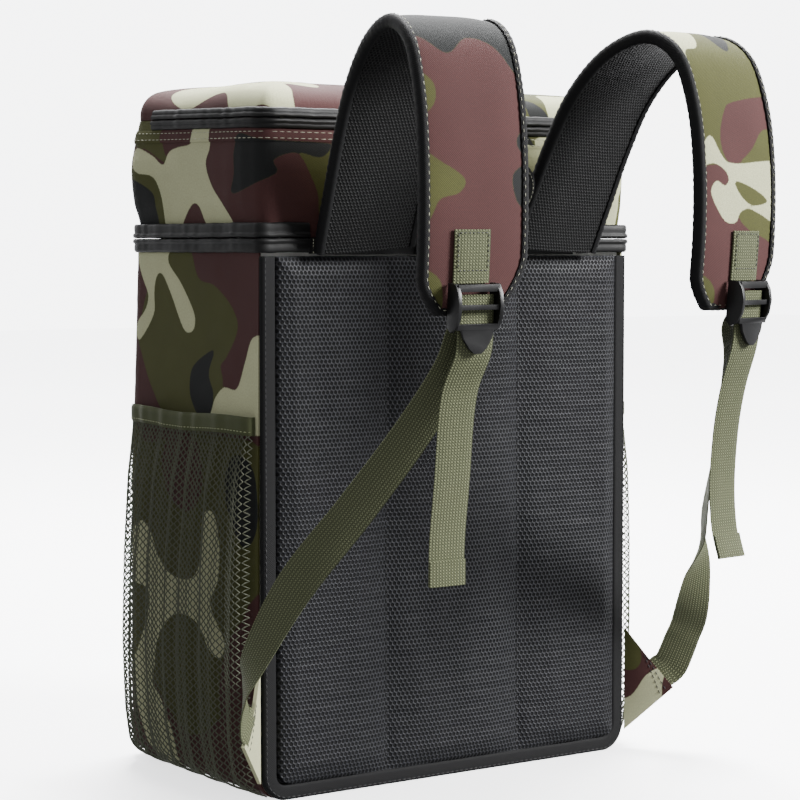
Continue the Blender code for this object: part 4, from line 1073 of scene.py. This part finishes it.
def make_strap_binding(side, centre, across, normal, left, right, body):
    """The tape folded over a strap's long edges and its tip, and its stitches on the outer face."""
    edge = [centre - across * (left - 0.0016)[:, None], (centre + across * (right - 0.0016)[:, None])[::-1]]
    tip_a, tip_b = edge[0][-1], edge[1][0]
    bridge = tip_a + (tip_b - tip_a) * np.linspace(0.06, 0.94, 16)[:, None]
    path = np.concatenate([edge[0], bridge, edge[1]])
    face = np.concatenate([normal, np.tile(normal[-1], (16, 1)), normal[::-1]])
    middle = np.concatenate([centre, np.tile(centre[-1], (16, 1)), centre[::-1]])
    along = unit(np.gradient(path, axis=0))
    out = unit(np.cross(along, face))
    flip = np.sum(out * (path - middle), axis=1) < 0
    flip[len(centre) : len(centre) + 16] = np.sum(out[len(centre) : len(centre) + 16] * np.cross(across[-1], normal[-1]), axis=1) * 0 < -1
    side_way = np.sum(out[5] * (path[5] - middle[5]))
    out = out if side_way > 0 else -out
    profile = [(-0.0030, 0.0050), (-0.0008, 0.0056), (0.0010, 0.0048), (0.0019, 0.0024), (0.0020, 0.0008),
               (0.0017, -0.0016), (0.0006, -0.0032), (-0.0012, -0.0036), (-0.0030, -0.0030), (-0.0030, 0.0010)]
    rings = np.stack([path + out * a + face * b for a, b in profile], axis=1)
    steps = np.concatenate([[0], np.cumsum(np.linalg.norm(np.diff(path, axis=0), axis=1))])
    rings += (0.0003 * np.sin(steps * 1100))[:, None, None] * out[:, None, :]
    vertices, faces = tube(rings)
    cloth = np.stack([np.repeat(np.arange(10)[None, :] * 0.0015, len(path), axis=0), np.repeat(steps[:, None], 10, axis=1),
                      np.zeros((len(path), 10))], axis=-1).reshape(-1, 3)
    piece = new_object("strap_edge_" + side, vertices, faces, PAINT["binding"], body, {"cloth": cloth}, 60)
    finish_piece(piece, "black_polyester", "strap_binding_" + side)
    line = path - out * 0.0019 + face * 0.0056
    threads = stitches("strap_edge_stitches_" + side, [(line, face)], PAINT["thread_light"], body, 0.0022, 0.0026, 0.00025)
    finish_piece(threads, "black_polyester")


def buckle_frame(side):
    """(origin, right, down, out) at the top of a buckle."""
    centre, tangent, across, normal, along = strap_frames(side, 400)
    half = len(centre) // 2
    k = half + int(np.argmin(np.abs(centre[half:, 2] - 0.3400)))
    origin = centre[k] + across[k] * (SIDES[side] * 0.0045) + normal[k] * 0.0070
    return origin, across[k], tangent[k], normal[k]


def make_anchor(side):
    """The webbing patch on the strap that holds the buckle, sewn round its edge."""
    centre, tangent, across, normal, along = strap_frames(side, 400)
    use = (centre[:, 1] < BACK_Y - 0.12) & (centre[:, 2] > 0.3395) & (centre[:, 2] < 0.3715)
    path = centre[use] + across[use] * (SIDES[side] * 0.0045) + normal[use] * 0.0066
    piece = strip_along("anchor_patch_" + side, path, across[use], normal[use], 0.025, 0.0020, PAINT["webbing"], "strap_" + side)
    finish_piece(piece, "webbing", "anchor_web_" + side)
    high = path + normal[use] * 0.0020
    a, b = high[2:-8] - across[use][2:-8] * 0.0105, high[2:-8] + across[use][2:-8] * 0.0105
    n = normal[use][2:-8]
    rows = [(a, n), (b, n), (np.array([a[0], b[0]]), n[:2]), (np.array([a[-1], b[-1]]), n[:2])]
    threads = stitches("anchor_stitches_" + side, rows, PAINT["thread_dark"], "strap_" + side, 0.0020, 0.0010, 0.00035)
    finish_piece(threads, "webbing")


def copied(node, paint, slot, body, name, bevel=0.0006, shift=(0, 0, 0)):
    """A new piece in a CAD node's shape, with rounded edges."""
    mesh = bpy.data.objects[node].data.copy()
    mesh.name = name
    mesh.materials.clear()
    bm = bmesh.new()
    bm.from_mesh(mesh)
    bmesh.ops.remove_doubles(bm, verts=bm.verts, dist=1e-6)
    bmesh.ops.dissolve_limit(bm, angle_limit=math.radians(1), verts=bm.verts, edges=bm.edges)
    bmesh.ops.translate(bm, verts=bm.verts, vec=Vector(shift))
    sharp = [e for e in bm.edges if e.is_manifold and e.calc_face_angle(0) > math.radians(28)]
    bmesh.ops.bevel(bm, geom=sharp, offset=bevel, segments=3, profile=0.5, affect="EDGES", clamp_overlap=True)
    bmesh.ops.recalc_face_normals(bm, faces=bm.faces)
    bm.to_mesh(mesh)
    bm.free()
    mesh.shade_smooth()
    mesh.set_sharp_from_angle(angle=math.radians(40))
    piece = bpy.data.objects.new(name, mesh)
    bpy.context.collection.objects.link(piece)
    mesh.materials.append(PAINT[paint])
    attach(piece, body)
    return finish_piece(piece, slot, node)


# ---------------------------------------------------------------- webbing

WEB = 0.025
TAIL_LINE = {
    "left": [(0.1640, 0.2750), (0.1580, 0.2400), (0.1550, 0.2000), (0.1545, 0.1580)],
    "right": [(0.1640, 0.2700), (0.1575, 0.2400), (0.1550, 0.2100), (0.1575, 0.1800), (0.1630, 0.1590)],
}
TAIL_DRIFT = {"left": 0.006, "right": 0.0}
TAIL_PIVOT = 0.0412
LOWER_WEB_LINE = [(0.1830, -0.1180, 0.0800), (0.1830, -0.1280, 0.1000), (0.1680, -0.1550, 0.1500),
                  (0.1450, -0.1900, 0.2000), (0.1250, -0.2250, 0.2500), (0.1130, -0.2480, 0.2880)]
LOWER_WEB_TWIST = {
    "left": [(0.30, (0.20, -0.52, -0.83)), (0.50, (0.75, -0.40, -0.52)), (0.80, (0.92, -0.30, -0.20))],
    "right": [(0.30, (0.72, 0.40, -0.55)), (0.42, (0.55, 0.83, 0.0)), (0.70, (0.70, 0.70, 0.0))],
}
TAB_TIP = np.array((0.173, -0.106, 0.055))
TAB_WAY = np.array((0.804, -0.594, 0.0))
TAB_SLANT = math.radians(50)


def make_tail(side):
    """The webbing through the buckle and its loose tail with the end turned up."""
    origin, across, down, normal = buckle_frame(side)
    flat = unit(np.array((-across[1], across[0], 0.0)))
    hung = []
    for p, z in TAIL_LINE[side]:
        ahead = (BACK_Y - p - origin[1]) / flat[1]
        drift = across * (SIDES[side] * TAIL_DRIFT[side] * (origin[2] - z) / (origin[2] - 0.158))
        hung.append(np.array([origin[0] + flat[0] * ahead, origin[1] + flat[1] * ahead, z]) + drift)
    given = [origin + down * v + normal * 0.0056 for v in (0.006, 0.020, TAIL_PIVOT)] + hung
    path, along = resample(smooth_line(given, 14), 150)
    path = path + across * (0.0006 * np.sin(along * 70))[:, None]
    tangent = unit(np.gradient(path, axis=0))
    out = unit(np.cross(tangent, across))
    out = out * np.sign(np.sum(out * normal, axis=1))[:, None]
    wide = np.tile(across, (len(path), 1))
    for name, first, last, lift in (("web_", 0, 150, 0.0), ("web_turned_end_", 136, 150, 0.0014)):
        piece = strip_along(name + side, path[first:last] + out[first:last] * lift, wide[first:last], out[first:last], WEB,
                            0.0014, PAINT["webbing"], None)
        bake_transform(piece)
        if first:
            finish_piece(piece, "webbing")
        else:
            finish_piece(piece, "webbing", "buckle_web_" + side, "web_tail_" + side)


def tab_frame(sign):
    """(middle of the tab's cut edge, along the edge, the way the webbing leaves)."""
    edge = TAB_WAY * math.cos(TAB_SLANT) - np.array((0, 0, math.sin(TAB_SLANT)))
    away = TAB_WAY * math.sin(TAB_SLANT) + np.array((0, 0, math.cos(TAB_SLANT)))
    mirror = np.array((sign, 1, 1))
    return TAB_TIP * mirror, edge * mirror, away * mirror


def make_lower_web(side, sign):
    """The webbing from the corner tab up to the buckle."""
    tip, edge, away = tab_frame(sign)
    origin, across, down, normal = buckle_frame(side)
    end = origin + down * 0.0185 + normal * 0.0022
    start = tip - away * 0.004
    lean = np.array((LEAN, 0, 0))
    given = [start, tip + away * 0.0016, tip + away * 0.0096]
    given += [np.array((sign * x, y, z)) - lean * z / 0.3 for x, y, z in LOWER_WEB_LINE]
    given += [end + down * 0.0115 - normal * 0.0060, end]
    path, along = resample(smooth_line(given, 10), 170)
    share = along / along[-1]
    table = [(0.0, edge)] + [(s, np.array(w)) for s, w in LOWER_WEB_TWIST[side]] + [(1.0, across)]
    ease = np.array([s for s, _ in table])
    wide = np.column_stack([np.interp(share, ease, [w[k] for _, w in table]) for k in range(3)])
    for _ in range(12):
        wide[1:-1] = (wide[:-2] + wide[1:-1] + wide[2:]) / 3
    tangent = unit(np.gradient(path, axis=0))
    wide = unit(wide - tangent * np.sum(wide * tangent, axis=1)[:, None])
    out = unit(np.cross(tangent, wide))
    piece = strip_along("lower_webbing_" + side, path, wide, out, WEB, 0.0014, PAINT["webbing"], None)
    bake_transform(piece)
    finish_piece(piece, "webbing", "lower_web_" + side)


def make_tab(side, sign):
    """The printed triangular tab that holds the lower webbing, with two rows of stitches."""
    tip, edge, away = tab_frame(sign)
    root = np.array((sign * (HALF + 0.0026), BACK_Y + 0.001, 0.0))
    corners = [root + (0, 0, 0.013), tip + edge * 0.014, tip - edge * 0.014, root + (0, 0, 0.087)]
    u, v = np.meshgrid(np.linspace(0, 1, 26), np.linspace(0, 1, 30))
    low = corners[0] + (corners[1] - corners[0]) * u[..., None]
    high = corners[3] + (corners[2] - corners[3]) * u[..., None]
    face = low + (high - low) * v[..., None]
    normal = unit(np.array((sign * TAB_WAY[1], -TAB_WAY[0], 0.0)))
    swell = 0.0010 * np.sin(math.pi * u) * np.sin(math.pi * v)
    top, under = face + normal * (0.0012 + swell)[..., None], face - normal * (0.0012 + swell)[..., None]
    vertices, faces = shell(top, under)
    uv = np.stack([u * 0.05, v * 0.06, 0 * u], axis=-1).reshape(-1, 3)
    uv = np.concatenate([uv] * 2)
    shapes = [("cream", [(-20, -10), (30, -8), (44, 14), (60, 40), (30, 30), (8, 18), (-20, 20)])]
    shapes += [("olive", [(-10, 40), (16, 36), (30, 50), (24, 70), (-10, 70)])]
    if side == "left":
        shapes = [("cream", [(-30, -30), (80, -30), (80, 80), (-30, 80)])]
    fields = camouflage(uv[:, :2] * 1000, "maroon", shapes)
    piece = new_object("corner_tab_" + side, vertices, faces, PAINT["camo"], "main_body", {"cloth": uv, **fields})
    finish_piece(piece, "camo_polyester", "web_tab_" + side)
    rows = []
    for column in (22, 19):
        for surface, way in ((top, 1), (under, -1)):
            rows.append((surface[2:-2, column], np.tile(normal * way, (26, 1))))
    threads = stitches("corner_tab_stitches_" + side, rows, PAINT["thread_dark"], "main_body")
    finish_piece(threads, "camo_polyester")


def make_haul_loop():
    """The carrying loop in the back seam, a doubled tape with stitched edges."""
    radius, shank, foot_x = 0.029, 0.045, 0.023
    plan = np.concatenate([[(foot_x, 0.0), (foot_x + 0.002, 0.02)], arc((0.0, shank), radius, 0, 180, 20),
                           [(-foot_x - 0.002, 0.02), (-foot_x, 0.0)]])
    plan, along = resample(plan, 110)
    lean = math.radians(43)
    up, out = np.array((0.0, -math.sin(lean), math.cos(lean))), np.array((0.0, -math.cos(lean), -math.sin(lean)))
    foot = np.array((0.0, BACK_Y - 0.001, SEAM_Z + 0.003))
    path = foot + plan[:, :1] * np.array((1.0, 0, 0)) + plan[:, 1:] * up
    tangent = np.gradient(plan, axis=0)
    wide = unit(np.stack([tangent[:, 1], np.zeros(110), -tangent[:, 0] * up[2]], axis=-1) + up * 0)
    wide = unit(tangent[:, 1:] * np.array((1.0, 0, 0)) - tangent[:, :1] * up)
    outs = np.tile(out, (110, 1))
    piece = strip_along("carry_loop", path, wide, outs, 0.020, 0.0032, PAINT["binding"], "haul_loop", 9)
    finish_piece(piece, "black_polyester", "haul_loop")
    rows = [(path + wide * w + out * 0.0031, outs) for w in (-0.008, 0.008)]
    finish_piece(stitches("carry_loop_stitches", rows, PAINT["thread_light"], "haul_loop", 0.0026, 0.0014), "black_polyester")


# ---------------------------------------------------------------- front pocket


def make_front_pocket():
    """The flat printed pocket on the front, with its zip."""
    half, low, high, deep = 0.112, 0.030, 0.2550, 0.006
    x, z = np.meshgrid(np.linspace(-half, half, 110), np.linspace(low, high, 110))
    edge = np.minimum(half - np.abs(x), np.minimum(z - low, (high - z) + 0.006))
    stand = deep * (0.35 + 0.65 * np.clip(edge / 0.016, 0, 1) ** 0.6)
    face = np.stack([x, lower_front(z) + stand, z], axis=-1)
    soft = ripple(face.reshape(-1, 3), 0.04, 0.0012, 12.0).reshape(x.shape) * np.clip(edge / 0.02, 0, 1)
    face[..., 1] += soft
    behind = np.stack([x, lower_front(z) + 0.0003, z], axis=-1)
    vertices, faces = shell(face, behind)
    uv = np.stack([x, z, 0 * x], axis=-1).reshape(-1, 3)
    uv = np.concatenate([uv] * 2)
    fields = camouflage(uv[:, :2] * 1000, "maroon", scattered((-120, 0), (120, 260), 44))
    piece = new_object("front_pocket_canvas", vertices, faces, PAINT["camo"], "main_body", {"cloth": uv, **fields})
    finish_piece(piece, "camo_polyester", "front_pocket")
    for name, height in (("front_pocket_zip_low", high + 0.0034), ("front_pocket_zip_high", high + 0.0096)):
        path = np.column_stack([np.linspace(-half, half, 60), np.full(60, lower_front(height) + 0.0002), np.full(60, height)])
        across, out = np.tile((0.0, 0, 1.0), (60, 1)), np.tile((0.0, 1.0, 0), (60, 1))
        piece = strip_along(name, path, across, out, 0.0058, 0.0031, PAINT["rubber"], "main_body", 9)
        finish_piece(piece, "zip_rubber", "front_pocket_zip")


def paint_inside():
    """The inner CAD pieces keep their shapes and get their materials."""
    for paint, nodes in (
        ("foam", ("foam_tub", "upper_foam", "lid_foam")),
        ("foil", ("foil_liner", "upper_liner", "lid_liner", "divider_floor")),
        ("board", ("back_board",)),
        ("black", ("base_panel", "hinge_strip")),
    ):
        for node in nodes:
            mesh = bpy.data.objects[node].data
            mesh.materials.clear()
            mesh.materials.append(PAINT[paint])


def make_all():
    """Every piece."""
    make_lower_shell()
    make_back_pad()
    make_back_binding()
    make_main_zip()
    make_upper_shell()
    make_lid()
    make_top_zip()
    make_front_pocket()
    make_haul_loop()
    for side, sign in SIDES.items():
        make_net(side, sign)
        make_pocket_hem(side, sign)
        make_tab(side, sign)
        make_strap(side)
        make_anchor(side)
        copied("buckle_" + side, "plastic", "buckle_plastic", "buckle_" + side, "ladder_buckle_" + side, 0.0009,
               (-LEAN, 0, 0))
        make_tail(side)
        make_lower_web(side, sign)
        copied("main_zip_%s_slider" % side, "metal", "zip_metal", "main_zip_%s_slider" % side, "zip_slider_" + side)
        copied("main_zip_%s_pull" % side, "cord", "pull_cord", "main_zip_%s_pull" % side, "zip_pull_" + side)
    for zip_name in ("top_zip", "front_pocket"):
        copied(zip_name + "_slider", "metal", "zip_metal", zip_name + "_slider", zip_name + "_slider_shape")
        copied(zip_name + "_pull", "cord", "pull_cord", zip_name + "_pull", zip_name + "_pull_shape")
    paint_inside()


# ---------------------------------------------------------------- stage


BRIGHT_WAY = (0.62, 0.78, 0.05)
DIM_SKY = 0.66
BRIGHT_SKY = 6.5


def make_stage():
    """A pale sweep, soft light and the camera."""
    bpy.ops.mesh.primitive_plane_add(size=16, location=(0, 0, 0))
    floor = bpy.context.object
    floor.name = "studio_floor"
    graph = Graph("studio_white", 0.9)
    tint = graph.noise(graph.place(), 0.8, 1)
    graph.colour(graph.mix(graph.map(tint, 0.3, 0.7), (0.86, 0.86, 0.87, 1), (0.90, 0.90, 0.91, 1)))
    # The floor glows as painted light, weakest near the bag and strongest far away, so it stays darker round the bag as
    # painted shade.
    graph.shader.inputs["Emission Color"].default_value = (0.98, 0.985, 1.0, 1)
    x, y, _ = graph.split(graph.place())
    away = graph.math("SQRT", graph.math("ADD", graph.math("MULTIPLY", x, x), graph.math("MULTIPLY", y, y)))
    graph.put(graph.shader.inputs["Emission Strength"], graph.map(away, 0.6, 4.0, 1.9, 4.6))
    floor.data.materials.append(graph.material)
    floor.visible_diffuse = False
    floor.visible_glossy = False
    world = bpy.data.worlds.new("studio")
    bpy.context.scene.world = world
    world.use_nodes = True
    tree = world.node_tree
    way = tree.nodes.new("ShaderNodeTexCoord").outputs["Generated"]
    toward = tree.nodes.new("ShaderNodeVectorMath")
    toward.operation = "DOT_PRODUCT"
    toward.inputs[1].default_value = BRIGHT_WAY
    tree.links.new(way, toward.inputs[0])
    fade = tree.nodes.new("ShaderNodeMapRange")
    fade.interpolation_type = "SMOOTHSTEP"
    for key, value in (("From Min", 0.5), ("From Max", 0.93), ("To Min", DIM_SKY), ("To Max", BRIGHT_SKY)):
        fade.inputs[key].default_value = value
    tree.links.new(toward.outputs["Value"], fade.inputs["Value"])
    background = tree.nodes["Background"]
    background.inputs["Color"].default_value = (0.98, 0.985, 1.0, 1)
    tree.links.new(fade.outputs["Result"], background.inputs["Strength"])
    for name, where, size, power in (
        ("key", (2.2, -2.6, 1.9), 1.3, 560),
        ("fill", (-2.6, -1.2, 1.4), 2.0, 8),
        ("top", (0.6, 0.8, 2.6), 1.4, 420),
    ):
        light = bpy.data.lights.new(name, "AREA")
        light.energy = power
        light.size = size
        lamp = bpy.data.objects.new(name, light)
        lamp.location = where
        lamp.rotation_euler = (Vector((0, 0, 0.25)) - Vector(where)).to_track_quat("-Z", "Y").to_euler()
        bpy.context.collection.objects.link(lamp)
    lens = bpy.data.cameras.new("camera")
    lens.sensor_width = 36
    lens.lens = 106
    camera = bpy.data.objects.new("camera", lens)
    camera.location = (-0.9395, -1.378, 0.36)
    camera.rotation_euler = (math.radians(86.3), 0, math.radians(-34.8))
    bpy.context.collection.objects.link(camera)
    bpy.context.scene.camera = camera


make_stage()
make_all()
